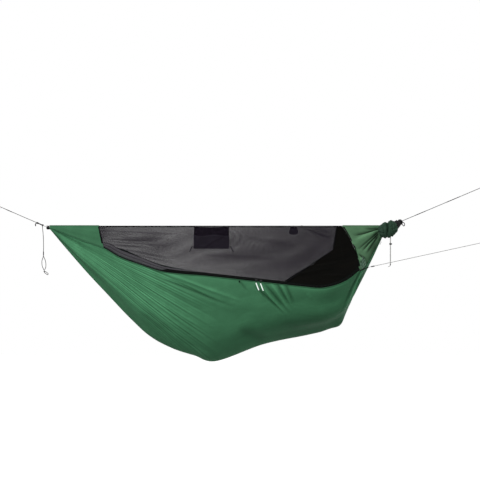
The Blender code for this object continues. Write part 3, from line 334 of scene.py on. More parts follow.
GREY_CORD = cord_finish("grey_braid", (0.030, 0.029, 0.028), (0.15, 0.146, 0.138), 0.38)
BLACK_CORD = cord_finish("black_braid", (0.006, 0.006, 0.0065), (0.016, 0.016, 0.016), 0.4)
TAIL_CORD = cord_finish("tail_braid", (0.010, 0.0098, 0.0096), (0.055, 0.053, 0.050), 0.36)
PALE_CORD = cord_finish("pale_braid", (0.13, 0.128, 0.120), (0.07, 0.07, 0.068), 0.42, 0.003)


def build_line(side, foot, bar, splices):
    """A suspension line with its splices and the eye round its bar; gives its two directions."""
    away = unit(bar - foot)
    upper = np.cross((0.0, 1.0, 0.0), away)
    upper = upper if upper[2] > 0 else -upper
    line_end = np.linalg.norm(bar - foot) - EYE_LENGTH - LINE_RADIUS - 0.0004
    along = set(np.linspace(LINE_START, line_end, 24))
    for begin, length in splices:
        along |= {begin, begin + 0.003, begin + length - 0.012, begin + length}
    along = np.array(sorted(along))
    radii = np.full(len(along), LINE_DRAWN)
    for begin, length in splices:
        radii[(along > begin + 0.001) & (along < begin + length - 0.001)] = SPLICE_RADIUS
    route = foot + away * along[:, None]
    line = lay_cord(f"{side}_suspension_line", route, radii, GREY_CORD)
    turns = np.linspace(-math.pi / 2, math.pi / 2, 13)
    knots = [bar + EYE_RADIUS * (away * math.cos(t) + upper * math.sin(t)) for t in turns]
    half = LINE_RADIUS * 1.6
    for hand, arm in ((upper, EYE_ARM), (-upper, EYE_ARM[::-1])):
        for share, width in arm:
            knots.append(bar - away * EYE_LENGTH * share + hand * (half + (EYE_RADIUS - half) * width))
    eye = lay_cord(f"{side}_rope_eye", knots, LINE_RADIUS, GREY_CORD, closed=True)
    assign(line, "hammock", "grey_cord", f"{side}_line")
    assign(eye, "hammock", "grey_cord", f"{side}_eye")
    return away, upper


left_away, left_upper = build_line("left", LEFT_FOOT, LEFT_BAR, LEFT_SPLICES)
right_away, right_upper = build_line("right", RIGHT_FOOT, RIGHT_BAR, RIGHT_SPLICES)

# Ridgeline, whippings and end loops. The black ridgeline runs in the top of the net from gather
# to gather. Wound black cord closes each gather over the loop that the suspension line holds.
RIDGELINE_RADIUS = 0.0025
RIDGELINE_PAST = 0.012
END_LOOP_REACH, END_LOOP_RADIUS, END_LOOP_HALF = 0.036, 0.00125, 0.003
WHIP_LENGTH, WHIP_RADIUS, WHIP_TURNS, WHIP_CORD = 0.024, 0.0112, 11, 0.0012
STOP_RADIUS, STOP_LENGTH, STOP_TURNS = 0.0042, 0.0094, 5
X_WAY = np.array((1.0, 0, 0))


def step(value, start, end):
    """A soft rise from 0 at the start value to 1 at the end value."""
    share = np.clip((value - start) / (end - start), 0, 1)
    return share * share * (3 - 2 * share)


def lay_loop(name, start, end, across, half_width, radius, finish, sides=8):
    """A long closed loop of cord from start to end, with round ends."""
    along = unit(end - start)
    route = []
    for centre, flip in ((start, -1), (end, 1)):
        for angle in np.linspace(-math.pi / 2, math.pi / 2, 9):
            way = along * math.cos(angle) + np.array(across) * math.sin(angle)
            route.append(centre + half_width * flip * way)
    return lay_cord(name, route, radius, finish, closed=True, sides=sides)


def winding(start, axis, first, radius, length, turns, steps=20):
    """The route of a cord wound round an axis."""
    counts = np.arange(turns * steps + 1)[:, None]
    angles = math.tau * counts / steps
    aim = first * np.cos(angles) + np.cross(axis, first) * np.sin(angles)
    return start + axis * length * counts / (turns * steps) + radius * aim


ends = (-RIDGELINE_PAST, RIDGE_LENGTH + RIDGELINE_PAST)
ridge_route = np.linspace(*(RIDGE_START + (x, 0, 0) for x in ends), 60)
ridgeline = lay_cord("ridgeline_cord", ridge_route, RIDGELINE_RADIUS, BLACK_CORD)
assign(ridgeline, "hammock", "black_cord", "ridgeline")

for side, foot, away, inward in (
    ("left", LEFT_FOOT, left_away, 1),
    ("right", RIGHT_FOOT, right_away, -1),
):
    name, start, end = f"{side}_gather_loop", foot - away * 0.006, foot + away * END_LOOP_REACH
    loop = lay_loop(name, start, end, (0, 1, 0), END_LOOP_HALF, END_LOOP_RADIUS, GREY_CORD)
    neck = np.array((foot[0], 0, RIDGE_START[2] - 0.0150))
    start = neck - (WHIP_LENGTH / 2, 0, 0)
    wraps = winding(start, X_WAY, (0.0, 1.0, 0), WHIP_RADIUS, WHIP_LENGTH, WHIP_TURNS)
    narrow = 0.55 + 0.45 * step((wraps[:, 0] - neck[0]) * inward, -0.012, -0.004)
    wraps[:, 1:] = neck[1:] + (wraps[:, 1:] - neck[1:]) * narrow[:, None]
    whipping = lay_cord(f"{side}_whipping_cord", wraps, WHIP_CORD, BLACK_CORD, sides=6)
    assign(loop, "hammock", "grey_cord", f"{side}_end_loop")
    assign(whipping, "hammock", "black_cord", f"{side}_whipping")

stop_start = np.array((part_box("ridge_stop")[0][0] + 0.0013, 0, RIDGE_START[2]))
stop_route = winding(stop_start, X_WAY, (0, 0, 1.0), STOP_RADIUS, STOP_LENGTH, STOP_TURNS)
stop = lay_cord("ridge_stop_knot", stop_route, WHIP_CORD, BLACK_CORD, sides=6)
assign(stop, "hammock", "black_cord", "ridge_stop")

# Body. One length of green ripstop nylon is gathered at both ends and hangs between them, tied
# out at the right. Pleats run out of both gathers, and the load draws long folds into it.
BODY_DEPTH = 1.05
HALF_WIDTH = 0.44
SECTION_POWER = 1.18
# A point inside the cabin, which every sheet of the body and the roof faces away from.
CABIN = RIDGE_START + (RIDGE_LENGTH / 2, 0, -BODY_DEPTH / 3)
# The near hem, the keel and the far hem along the body: how far along the ridgeline, how far
# sideways for the hems, and how deep, as shares of its length, HALF_WIDTH and BODY_DEPTH.
SECTIONS = [
    ((0.053, 0.127, 0.059), (0.048, 0.150), (0.053, 0.127, 0.055)),
    ((0.106, 0.227, 0.111), (0.112, 0.334), (0.106, 0.227, 0.100)),
    ((0.170, 0.340, 0.167), (0.177, 0.509), (0.160, 0.340, 0.142)),
    ((0.218, 0.455, 0.233), (0.242, 0.683), (0.216, 0.477, 0.178)),
    ((0.278, 0.590, 0.286), (0.302, 0.822), (0.271, 0.610, 0.241)),
    ((0.340, 0.700, 0.333), (0.367, 0.910), (0.328, 0.727, 0.295)),
    ((0.404, 0.770, 0.353), (0.432, 0.962), (0.395, 0.800, 0.330)),
    ((0.470, 0.830, 0.365), (0.497, 1.003), (0.464, 0.860, 0.357)),
    ((0.606, 0.915, 0.402), (0.636, 0.880), (0.613, 0.910, 0.403)),
    ((0.742, 1.000, 0.439), (0.769, 0.806), (0.753, 0.890, 0.431)),
    ((0.807, 0.990, 0.448), (0.822, 0.769), (0.823, 0.800, 0.395)),
    ((0.868, 0.900, 0.403), (0.867, 0.696), (0.879, 0.640, 0.309)),
    ((0.912, 0.770, 0.326), (0.888, 0.600), (0.915, 0.470, 0.220)),
    ((0.927, 0.750, 0.306), (0.911, 0.470), (0.938, 0.360, 0.165)),
    ((0.956, 0.430, 0.200), (0.942, 0.317), (0.961, 0.220, 0.110)),
    ((0.980, 0.160, 0.105), (0.972, 0.160), (0.980, 0.100, 0.062)),
]
LAST = len(SECTIONS) + 3
ZIP_STRAIGHT = (9, 11)
NECK_START, NECK_LENGTH = -0.0105, 0.021
NECK = [(NECK_START, -0.006, -0.012), (NECK_START, 0, -0.021), (NECK_START, 0.006, -0.012)]
HEM_START, HEM_END = 1.5, 17.5
RIM_SHARE = 0.995
# How far from a gather the fabric swells most, and the fold height that gets the full painted light and
# shade.
SWELL_REACH, FULL_SHADE_FOLD = 0.35, 0.016

# Folds of the near side, each from a start to an end (x, z), with its half width and height.
BODY_FOLDS = [
    ((1.335, -0.520), (1.930, -0.745), 0.010, 0.011),
    ((1.370, -0.592), (1.870, -0.795), 0.010, -0.013),
    ((1.230, -0.495), (1.700, -0.720), 0.009, -0.009),
    ((1.250, -0.730), (1.700, -0.985), 0.013, 0.005),
    ((1.935, -0.600), (1.990, -0.680), 0.009, -0.009),
    ((2.050, -0.640), (2.264, -0.847), 0.009, -0.013),
    ((2.085, -0.630), (2.281, -0.851), 0.010, 0.012),
    ((2.110, -0.605), (2.302, -0.847), 0.009, -0.013),
    ((2.160, -0.602), (2.311, -0.828), 0.011, 0.012),
    ((2.206, -0.602), (2.325, -0.810), 0.009, -0.013),
    ((2.238, -0.605), (2.334, -0.813), 0.010, 0.011),
    ((2.272, -0.602), (2.352, -0.798), 0.009, -0.012),
    ((2.440, -0.690), (2.480, -0.740), 0.016, 0.004),
    ((1.930, -0.985), (2.160, -1.075), 0.045, -0.010),
    ((1.180, -0.850), (1.420, -1.030), 0.040, -0.010),
    ((2.868, -0.500), (2.715, -0.850), 0.007, 0.012),
    ((2.850, -0.505), (2.700, -0.840), 0.007, -0.009),
    ((2.886, -0.500), (2.732, -0.850), 0.006, -0.009),
]

# Streaks of painted light and shade beside the folds of the right end, a pale one between two dark ones, each
# with its half width and shade.
END_PAINTED_STREAKS = [
    ((2.876, -0.500), (2.760, -0.800), 0.008, 2.2),
    ((2.853, -0.500), (2.730, -0.800), 0.007, -1.2),
    ((2.896, -0.500), (2.782, -0.790), 0.006, -1.0),
]

# Straight pleats of the left end fan out of its gather: how many for each unit of slope in the
# picture's plane, their phase and height, where along the ridgeline they begin to end and end,
# and how strongly painted shade darkens their valleys and painted light lifts their crests.
PLEATS = [
    (13, 0.4, 0.0034, 0.9, 1.55, 0.9),
    (29, 1.9, 0.0030, 0.9, 1.45, 1.8),
    (43, 0.9, 0.0036, 0.8, 1.40, 4.0),
    (67, 2.3, 0.0014, 0.7, 1.25, 1.2),
]
# Pleats round the right gather: how many across, their phase and height, and where they end.
RIGHT_PLEATS = [(9, 0.8, 0.005, 0.5), (15, 2.2, 0.003, 0.36), (23, 1.2, 0.0016, 0.26)]


def at_stations(knots, stations):
    """Points of a smooth curve through the knots at fractional knot numbers."""
    stations = np.asarray(stations, float)
    first = np.clip(stations.astype(int), 0, len(knots) - 2)
    share = (stations - first)[..., None]
    before, start, end, after = (knots[np.clip(first + k, 0, len(knots) - 1)] for k in (-1, 0, 1, 2))
    return 0.5 * (
        2 * start
        + (end - before) * share
        + (2 * before - 5 * start + 4 * end - after) * share**2
        + (3 * start - before - 3 * end + after) * share**3
    )


def edge_knots(line):
    """The knots of the near hem (0), the keel (1) or the far hem (2), necks included."""
    first = np.array(NECK[line])
    knots = [first, first + (NECK_LENGTH, 0, 0)]
    for section in SECTIONS:
        shares = section[line]
        across = (-HALF_WIDTH, 0.0, HALF_WIDTH)[line] * (shares[1] if line != 1 else 0)
        knots.append((shares[0] * RIDGE_LENGTH, across, -shares[-1] * BODY_DEPTH))
    knots += [first + (RIDGE_LENGTH, 0, 0), first + (RIDGE_LENGTH + NECK_LENGTH, 0, 0)]
    return np.array([np.array(k, float) for k in knots])


NEAR_KNOTS, KEEL_KNOTS, FAR_KNOTS = (edge_knots(line) for line in range(3))


def near_edge(stations):
    """The near hem, straight where the two sliders run."""
    stations = np.asarray(stations, float)
    start, end = ZIP_STRAIGHT
    share = ((stations - start) / (end - start))[..., None]
    straight = NEAR_KNOTS[start] + (NEAR_KNOTS[end] - NEAR_KNOTS[start]) * share
    return np.where((share >= 0) & (share <= 1), straight, at_stations(NEAR_KNOTS, stations))


def far_edge(stations):
    return at_stations(FAR_KNOTS, stations)


def hem_direction(side, stations):
    edge = near_edge if side < 0 else far_edge
    stations = np.asarray(stations, float)
    return unit(edge(np.minimum(stations + 0.05, LAST)) - edge(np.maximum(stations - 0.05, 0)))


def ridged(phase):
    """A wave with broad round tops and narrow valleys."""
    return 1 - (1 - np.abs(np.sin(phase))) ** 1.6


def line_folds(points, folds):
    """How far points stand out for folds along straight lines in the picture's plane."""
    height = np.zeros(points.shape[:-1])
    plane = points[..., (0, 2)]
    for start, end, width, rise in folds:
        start, end = np.array(start), np.array(end)
        along = end - start
        share = ((plane - start) @ along) / along.dot(along)
        nearest = start + np.clip(share, 0, 1)[..., None] * along
        off = np.linalg.norm(plane - nearest, axis=-1)
        fade = step(share, -0.12, 0.25) * (1 - step(share, 0.6, 1.12))
        height += rise * np.exp(-((off / width) ** 2)) * fade
    return height


def body_grid(stations, across):
    """The body fabric from the left end of the ridgeline, with all its folds, and its painted light and
    shade.
    """
    stations, across = np.broadcast_arrays(np.asarray(stations, float), np.asarray(across, float))
    near, far, low = near_edge(stations), far_edge(stations), at_stations(KEEL_KNOTS, stations)
    edge = np.where((across < 0)[..., None], near, far)
    swing = np.abs(across) * math.pi / 2
    out = np.sin(swing) ** SECTION_POWER
    rise = 1 - np.abs(np.cos(swing)) ** SECTION_POWER
    points = low + (edge - low) * np.stack([rise, out, rise], -1)
    x, y, z = (points[..., axis] for axis in range(3))
    outward = points - (near + far) / 2
    outward[..., 0] = 0
    outward /= np.maximum(np.linalg.norm(outward, axis=-1, keepdims=True), 1e-9)
    left = np.maximum(low[..., 0] + NECK_START, 0)
    right = np.maximum(RIDGE_LENGTH - low[..., 0] + NECK_START, 0)
    reach = np.minimum(left, right) / SWELL_REACH
    swell = reach * np.exp(1 - reach)
    fold = 0.012 * swell * (np.cos(4 * math.pi * across) - 1)
    # A crest runs slantwise below the near hem, with a shallow valley under it.
    share = np.clip((stations - 6.5) / 4, 0, 1)
    off = across - (-0.97 + 0.27 * share)
    crest = np.exp(-((off / 0.08) ** 2)) - 0.7 * np.exp(-(((off - 0.16) / 0.08) ** 2))
    fold += 0.008 * np.sin(math.pi * share) * crest
    # Straight pleats run out of the left gather, between the hem and the keel.
    slope = -(z + 0.012) / np.maximum(x + 0.012, 0.02)
    between = step(slope, 0.34, 0.42) * (1 - 0.85 * step(slope, 0.78, 1.0))
    shade = np.zeros_like(fold)
    for count, phase, size, start, end, darkness in PLEATS:
        fade = step(left, 0.02, 0.2) * (1 - step(left, start, end)) * between
        fade *= 0.6 + 0.4 * np.sin(1.7 * count * slope + 3 * left + phase)
        pleat = ridged(math.pi * count * slope + phase + 0.8 * np.sin(2.1 * left)) - 0.6
        fold += size * fade * step(left, -0.1, 0.8) * pleat
        # Each pleat paints shade into its valleys and light onto its crests.
        shade += darkness * fade * pleat
    for count, phase, size, end in RIGHT_PLEATS:
        grow = step(right, 0.01, 0.12) * (1 - step(right, end * 0.4, end))
        fold += size * grow * (ridged(math.pi * count * across + phase) - 0.6)
    # Slow unevenness of a cloth that hangs by its edges.
    fold += 0.003 * np.sin(5.1 * x + 2.3 * across) * np.sin(3.7 * across + 2.2 * x)
    near_side = (across < 0) & (y < 0)
    drawn = np.where(near_side, line_folds(points + RIDGE_START, BODY_FOLDS), 0)
    # Raised folds get painted light and sunk folds painted shade, and the right end gets its painted streaks.
    shade += drawn / FULL_SHADE_FOLD
    shade += np.where(near_side, line_folds(points + RIDGE_START, END_PAINTED_STREAKS), 0)
    # Painted shade darkens the left end and the lower right.
    shade -= 0.2 * (1 - step(left, 0.2, 0.9)) + 0.5 * (1 - step(left, 0.02, 0.16))
    shade -= 0.7 * step(x, 1.6, 2.0) * step(-z, 0.60, 0.74)
    fold = (fold + drawn) * (1 - np.abs(across) ** 18)
    # The keel turns up in a blunt corner near the right end.
    corner = np.exp(-(((stations - 12.75) / 0.42) ** 2) - (across / 0.2) ** 2)[..., None]
    points = points + corner * (0.012, 0, -0.020)
    return points + outward * fold[..., None], np.clip(shade, -1, 2.2)


def cloth_piece(name, grid, finish, wall=0.0, attributes=None, inner=CABIN):
    """A sheet through a grid of points, facing away from inner, with thread lengths as its UV."""
    rows, columns = grid.shape[:2]
    numbers = np.arange(rows * columns).reshape(rows, columns)
    corners = np.stack([numbers[:-1, :-1], numbers[1:, :-1], numbers[1:, 1:], numbers[:-1, 1:]], -1)
    corners = corners.reshape(-1, 4)
    along = reaches(np.linalg.norm(np.diff(grid, axis=0), axis=2).mean(1))
    across = np.cumsum(np.linalg.norm(np.diff(grid, axis=1), axis=2), 1)
    across = np.concatenate([np.zeros((rows, 1)), across], 1)
    across -= across[:, columns // 2, None]
    texture = np.stack([np.broadcast_to(along[:, None], (rows, columns)), across], -1).reshape(-1, 2)
    points = grid.reshape(-1, 3)
    a, b, c, d = (points[corners[:, k]] for k in range(4))
    if ((points[corners].mean(1) - inner) * np.cross(c - a, d - b)).sum() < 0:
        corners = corners[:, ::-1]
    piece = build_piece(name, points, corners.tolist(), texture[corners.ravel()], finish)
    for key, values in (attributes or {}).items():
        values = np.broadcast_to(values, (rows, columns)).astype(np.float32).ravel()
        piece.data.attributes.new(key, "FLOAT", "POINT").data.foreach_set("value", values)
    if wall:
        thick = piece.modifiers.new("wall", "SOLIDIFY")
        thick.thickness = wall
        thick.offset = 1
    return piece


def sheet_area(grid):
    a, b, c, d = grid[:-1, :-1], grid[1:, :-1], grid[1:, 1:], grid[:-1, 1:]
    halves = (np.linalg.norm(np.cross(*pair), axis=-1) for pair in ((b - a, c - a), (c - a, d - a)))
    return float(sum(halves).sum() / 2)


ripstop, given = new_group("ripstop", ("Grid", "Thread"), ("Height", "Line", "Tone"))
threads, *parts = thread_lengths(ripstop)
lines, weaves = [], []
for part in parts:
    fraction = calc(ripstop, "PINGPONG", calc(ripstop, "DIVIDE", part, given["Grid"]), 1.0)
    lines.append(remap(ripstop, fraction, 0.0, 0.16, 1.0, 0.0))
    weaves.append(wave(ripstop, calc(ripstop, "DIVIDE", part, given["Thread"])))
line = calc(ripstop, "MAXIMUM", *lines)
place(ripstop, "NodeGroupOutput", {
    "Height": calc(ripstop, "MULTIPLY_ADD", calc(ripstop, "MULTIPLY", *weaves), 0.25, line),
    "Line": line,
    "Tone": noise(ripstop, threads, 9.0, 4.0, Roughness=0.6),
})

crumple, given = new_group("crumple", ("Scale", "Stretch"), ("Height", "Tone"))
along, across = thread_lengths(crumple)[1:]
field_inputs = {0: calc(crumple, "MULTIPLY", along, given["Stretch"]), 1: across}
field = place(crumple, "ShaderNodeCombineXYZ", field_inputs).outputs[0]
soft = noise(crumple, field, given["Scale"], 3.0, Distortion=0.6)
crease = calc(crumple, "ABSOLUTE", calc(crumple, "SUBTRACT", soft, 0.5))
place(crumple, "NodeGroupOutput", {"Height": crease, "Tone": soft})


def cloth_finish(
    name, colour, low_colour, gloss, grid=0.006, roughness=0.62, wrinkle=0.004,
    scale=14.0, stretch=0.35, line_light=0.12, crease=0.4,
):
    """Coated ripstop: raised grid threads, a fine weave, wrinkles, slow tones, and painted shade in creases
    and painted light on crests.
    """
    finish, tree = new_finish(name)
    weave = use_group(tree, ripstop, Grid=grid, Thread=0.0009)
    folds = use_group(tree, crumple, Scale=scale, Stretch=stretch)
    amount = remap(tree, calc(tree, "MULTIPLY", weave["Tone"], folds["Tone"]), 0.12, 0.42)
    threads = calc(tree, "MULTIPLY", weave["Line"], line_light)
    lit = blend(tree, threads, blend(tree, amount, low_colour, colour), [min(1, c * 1.9) for c in colour])
    # Painted light and shade: the mesh's shade attribute lightens or darkens the colour, by crease for each
    # unit.
    painted_light_shade = place(tree, "ShaderNodeAttribute", attribute_name="shade").outputs["Fac"]
    bright = calc(tree, "MULTIPLY_ADD", painted_light_shade, crease, 1.0)
    light_shade_colour = place(tree, "ShaderNodeVectorMath", {0: lit, "Scale": bright}, operation="SCALE")
    small = bump(tree, weave["Height"], 0.00012, 0.6)
    coat(tree, {
        "Base Color": light_shade_colour.outputs[0],
        "Roughness": remap(tree, folds["Tone"], low=roughness - 0.08, high=roughness + 0.08),
        "Normal": bump(tree, folds["Height"], wrinkle, 0.7, Normal=small),
        "Specular IOR Level": gloss,
    })
    return finish


GREEN = cloth_finish("green_ripstop", (0.057, 0.190, 0.094), (0.044, 0.152, 0.074), gloss=0.06)
body_rows = np.concatenate([
    [0, 0.5],
    np.linspace(1, 9.5, 150),
    np.linspace(9.5, 12.2, 150)[1:],
    np.linspace(12.2, 18, 90)[1:],
    [18.5, 19],
])[:, None]
body_columns = np.concatenate([
    np.linspace(-1, -0.25, 180),
    np.linspace(-0.25, 0.25, 31)[1:],
    np.linspace(0.25, 1, 42)[1:],
])
rim = np.where((body_rows >= HEM_START) & (body_rows <= HEM_END), RIM_SHARE, 1.0)
body_points, body_shade = body_grid(body_rows, body_columns * rim)
body_points = body_points + RIDGE_START
body = cloth_piece("body_fabric", body_points, GREEN, attributes={"shade": body_shade})
assign(body, "hammock", "green_fabric", "body_left_end", "body_left", "body_shell", "body_right")
sheet_area(body_points)

# Hems. The body's long edges are rolled over into round, slightly uneven hems; the near one
# carries the zip, and both run from hood to hood.
HEM_RADIUS = 0.004
HEM_STATIONS = np.linspace(HEM_START, HEM_END, 300)
# The hem is the body's own green, painted darker as the shade of its roll.
SHADED_HEM_GREEN = cloth_finish("hem_painted_shade_ripstop", (0.032, 0.108, 0.053), (0.024, 0.086, 0.042), gloss=0.06)
counts = np.arange(len(HEM_STATIONS))
pinch = 1 - 0.12 * np.abs(np.sin(counts * 1.9)) - 0.08 * np.sin(counts * 0.37)
for word, edge in (("near", near_edge), ("far", far_edge)):
    hem_route = edge(HEM_STATIONS) + RIDGE_START
    hem = lay_cord(f"{word}_hem_roll", hem_route, HEM_RADIUS * pinch, SHADED_HEM_GREEN, sides=8)
    assign(hem, "hammock", "green_fabric", f"{word}_hem")

# Hoods. A lighter green hood closes each end above the body, over the ridgeline from hem to hem.
# The right one is drawn into deep creases by its gather; black tape binds both free borders.
LEFT_BORDER, RIGHT_BORDER = 4.0, 14.0
LEFT_BORDER_TOP, RIGHT_BORDER_TOP = 0.151, 0.869
ROOF_SAG, BORDER_BULGE = 0.03, 0.03
HOOD_WALL, PANEL_WALL, TAPE_WALL, BINDING_WALL = 0.0012, 0.0008, 0.0006, 0.0005
BAND_WIDTH, SEAM_GAP, RIM_GAP = 0.015, 0.0005, 0.0015
ROOF_START = 0.0052
BAND_ZONE = HEM_RADIUS + SEAM_GAP + 2 * (BAND_WIDTH + SEAM_GAP)
# The hood's cap over the ridgeline, as (y, z) from its middle.
RIDGE_CAP = [(-0.0034, 0.0004), (-0.0022, 0.0040), (0, 0.0050), (0.0022, 0.0040), (0.0034, 0.0004)]
CAP_DELAY = 0.0034
LEFT_HOOD_FOLDS = [
    ((0.480, -0.200), (0.860, -0.330), 0.009, 0.005),
    ((0.470, -0.190), (0.870, -0.290), 0.008, -0.003),
    ((0.500, -0.185), (0.860, -0.215), 0.010, 0.003),
]
RIGHT_HOOD_FOLDS = [
    ((3.030, -0.196), (2.905, -0.198), 0.007, -0.012),
    ((3.020, -0.203), (2.815, -0.250), 0.006, -0.018),
    ((3.020, -0.212), (2.830, -0.285), 0.010, 0.010),
    ((3.020, -0.216), (2.850, -0.350), 0.006, -0.020),
    ((3.020, -0.222), (2.862, -0.338), 0.008, 0.010),
    ((3.020, -0.226), (2.878, -0.362), 0.006, -0.020),
    ((3.020, -0.233), (2.890, -0.378), 0.008, 0.012),
    ((3.015, -0.240), (2.905, -0.390), 0.009, -0.024),
    ((2.845, -0.395), (2.915, -0.440), 0.006, -0.014),
    ((2.850, -0.425), (2.895, -0.462), 0.006, 0.014),
    ((2.845, -0.455), (2.905, -0.450), 0.005, -0.014),
    ((2.870, -0.470), (2.915, -0.462), 0.005, 0.012),
]


def ridge_along(stations):
    """Where the roof's line of a station starts on the ridgeline."""
    left, right = (float(near_edge(s)[0]) for s in (LEFT_BORDER, RIGHT_BORDER))
    tops = [share * RIDGE_LENGTH for share in (0, LEFT_BORDER_TOP, RIGHT_BORDER_TOP, 1)]
    return np.interp(near_edge(stations)[..., 0], [0, left, right, RIDGE_LENGTH], tops)


def roof_lines(side, stations):
    """The roof's slant to the hem, its hem points, its ways down and out, and its ridge points."""
    stations = np.asarray(stations, float)
    edge = near_edge(stations) if side < 0 else far_edge(stations)
    top = np.zeros_like(edge)
    top[..., 0] = ridge_along(stations)
    down = unit(edge - top)
    slant = 1 / np.linalg.norm(np.cross(down, hem_direction(side, stations)), axis=-1)
    return slant, edge, down, unit(np.cross(X_WAY, down)) * side, top


def roof_grid(side, stations, shares, rise=0.0):
    """Points of the roof from the ridgeline (0) to the top of the zip band (1), rise outwards."""
    stations, shares = np.broadcast_arrays(np.asarray(stations, float), np.asarray(shares, float))
    slant, edge, down, outward, top = roof_lines(side, stations)
    length = np.linalg.norm(edge - top, axis=-1)
    reach = ROOF_START + (length - np.minimum(BAND_ZONE * slant, length / 4) - ROOF_START) * shares
    bow = 4 * shares * (1 - shares)
    points = top + down * reach[..., None] + outward * (rise - ROOF_SAG * length * bow)[..., None]
    points[..., 0] += BORDER_BULGE * bow * np.maximum(0, 1 - np.abs(stations - RIGHT_BORDER))
    return points


def band_grid(side, stations, from_hem, rise=0.0):
    """Points of the roof at distances square from the hem's middle."""
    slant, edge, down, outward = roof_lines(side, stations)[:4]
    return edge - down * (np.asarray(from_hem) * slant)[..., None] + outward * rise


def both_sides(near, middle, far):
    """Rows of the near side, turned round, then the middle and the far side."""
    return np.concatenate([near[:, ::-1], middle, far], axis=1)


def add_last(rows, last):
    """Rows with one more point each."""
    return np.concatenate([rows, last[:, None]], axis=1)


# The two hoods are one fabric: the left copy is painted darker as painted shade, and the right copy lighter
# and warmer as painted light.
SHADED_LEFT_HOOD_GREEN = cloth_finish(
    "left_hood_painted_shade_ripstop", (0.036, 0.118, 0.058), (0.029, 0.098, 0.048),
    wrinkle=0.005, scale=18.0, stretch=0.5, gloss=0.06,
)
LIT_RIGHT_HOOD_GREEN = cloth_finish(
    "right_hood_painted_light_ripstop", (0.064, 0.137, 0.072), (0.050, 0.112, 0.058),
    wrinkle=0.006, scale=22.0, stretch=0.5, gloss=0.06, crease=0.8,
)
BLACK_TAPE = cloth_finish(
    "black_tape", (0.0034, 0.0034, 0.0038), (0.002, 0.002, 0.0024),
    grid=0.0016, roughness=0.75, wrinkle=0.0008, line_light=0.3, gloss=0.02,
)


def sew_tape(name, grid, wall, body_name):
    """A thin black tape on the roof."""
    tape = cloth_piece(name, grid + RIDGE_START, BLACK_TAPE, wall)
    assign(tape, body_name, "black_fabric")


shares = np.linspace(0, 1, 34)
fullness = np.sin(np.clip(shares, 0.02, 0.98) * math.pi) ** 0.5
# Each hood's stations, folds, the fold depth for a full painted shade, its lower painted shade, finish and
# flat size.
for border, stations, folds, depth, lower_painted_shade, finish, flat in (
    ("left", np.linspace(1.05, LEFT_BORDER - 0.004, 110), LEFT_HOOD_FOLDS, 0.012, 0.0,
     SHADED_LEFT_HOOD_GREEN, (0.40, 0.38)),
    ("right", np.linspace(RIGHT_BORDER + 0.006, 17.9, 130), RIGHT_HOOD_FOLDS, 0.008, 0.3,
     LIT_RIGHT_HOOD_GREEN, (0.34, 0.90)),
):
    sides, hood_shades = [], []
    for side in (-1, 1):
        points = roof_grid(side, stations[:, None], shares)
        outward = roof_lines(side, stations)[3]
        gather = RIDGE_LENGTH - points[..., 0] if border == "right" else points[..., 0]
        ripple = 0.0035 * step(gather, 0.02, 0.1) * (1 - step(gather, 0.2, 0.5))
        angle = np.arctan2(-points[..., 2] + 0.02, np.abs(gather) + 0.03)
        fold = ripple * (ridged(9 * angle + 0.7) + 0.6 * ridged(17 * angle) - 0.8)
        # The far side repeats the near side's folds, turned in and shallower.
        fold = fold + (1 if side < 0 else -0.6) * line_folds(points + RIDGE_START, folds)
        fold = np.clip(fold * fullness, -0.022, 0.014)
        points = points + outward[:, None, :] * fold[..., None]
        rim = 0.0002 + (HEM_RADIUS + RIM_GAP - 0.001) * step(stations, 1.3, 1.7)
        sides.append(add_last(points, band_grid(side, stations, rim)))
        # Painted light on raised folds and painted shade in sunk ones, and painted shade over the lower part.
        tone = np.clip(fold / depth - lower_painted_shade * shares**2, -1, 1)
        hood_shades.append(add_last(tone, tone[:, -1]))
    # The cap over the ridgeline starts a little later, so that the lifted door's corner passes it.
    along = ridge_along(stations)
    if border == "right":
        along = np.maximum(along, along[0] + CAP_DELAY)
    cap = np.zeros((len(stations), len(RIDGE_CAP), 3))
    cap[..., 0] = along[:, None]
    cap[..., 1:] = RIDGE_CAP
    grid = both_sides(sides[0], cap, sides[1]) + RIDGE_START
    hood_shades = both_sides(hood_shades[0], np.zeros(cap.shape[:2]), hood_shades[1])
    hood = cloth_piece(f"{border}_hood_cloth", grid, finish, HOOD_WALL, {"shade": hood_shades})
    assign(hood, "hammock", "hood_fabric", f"{border}_hood")
    sheet_area(grid)

for name, inner, outer in (
    ("left_border_tape", LEFT_BORDER - 0.07, LEFT_BORDER + 0.004),
    ("right_border_tape", RIGHT_BORDER + 0.004, RIGHT_BORDER + 0.13),
):
    stations = np.array([inner, (inner + outer) / 2, outer])
    for side, word in ((-1, "near"), (1, "far")):
        grid = roof_grid(side, stations[:, None], np.linspace(0.02, 0.985, 40), rise=0.0026)
        sew_tape(f"{name}_{word}", grid, TAPE_WALL, "hammock")

# Net. Fine black insect net, seen through, hangs from the ridgeline to both hems. The near side is
# the door, with a solid black panel at its right end; slack puts long shallow wrinkles in it.
DARK_PANEL_BORDER = np.array([(2.691, -0.188), (2.655, -0.363), (2.289, -0.599)])
NET_FOLDS = [
    ((0.860, -0.212), (1.520, -0.244), 0.007, -0.0055),
    ((0.870, -0.256), (1.420, -0.282), 0.007, -0.005),
    ((0.880, -0.276), (1.300, -0.290), 0.007, -0.008),
    ((0.890, -0.300), (1.380, -0.330), 0.008, 0.006),
    ((0.900, -0.316), (1.250, -0.345), 0.006, -0.006),
    ((0.960, -0.345), (1.450, -0.440), 0.008, 0.006),
    ((1.000, -0.365), (1.430, -0.465), 0.007, -0.006),
    ((1.650, -0.400), (2.300, -0.440), 0.018, 0.004),
    ((2.430, -0.190), (2.640, -0.270), 0.012, -0.010),
    ((2.480, -0.185), (2.660, -0.240), 0.012, 0.007),
    ((1.950, -0.260), (2.350, -0.330), 0.020, 0.004),
]
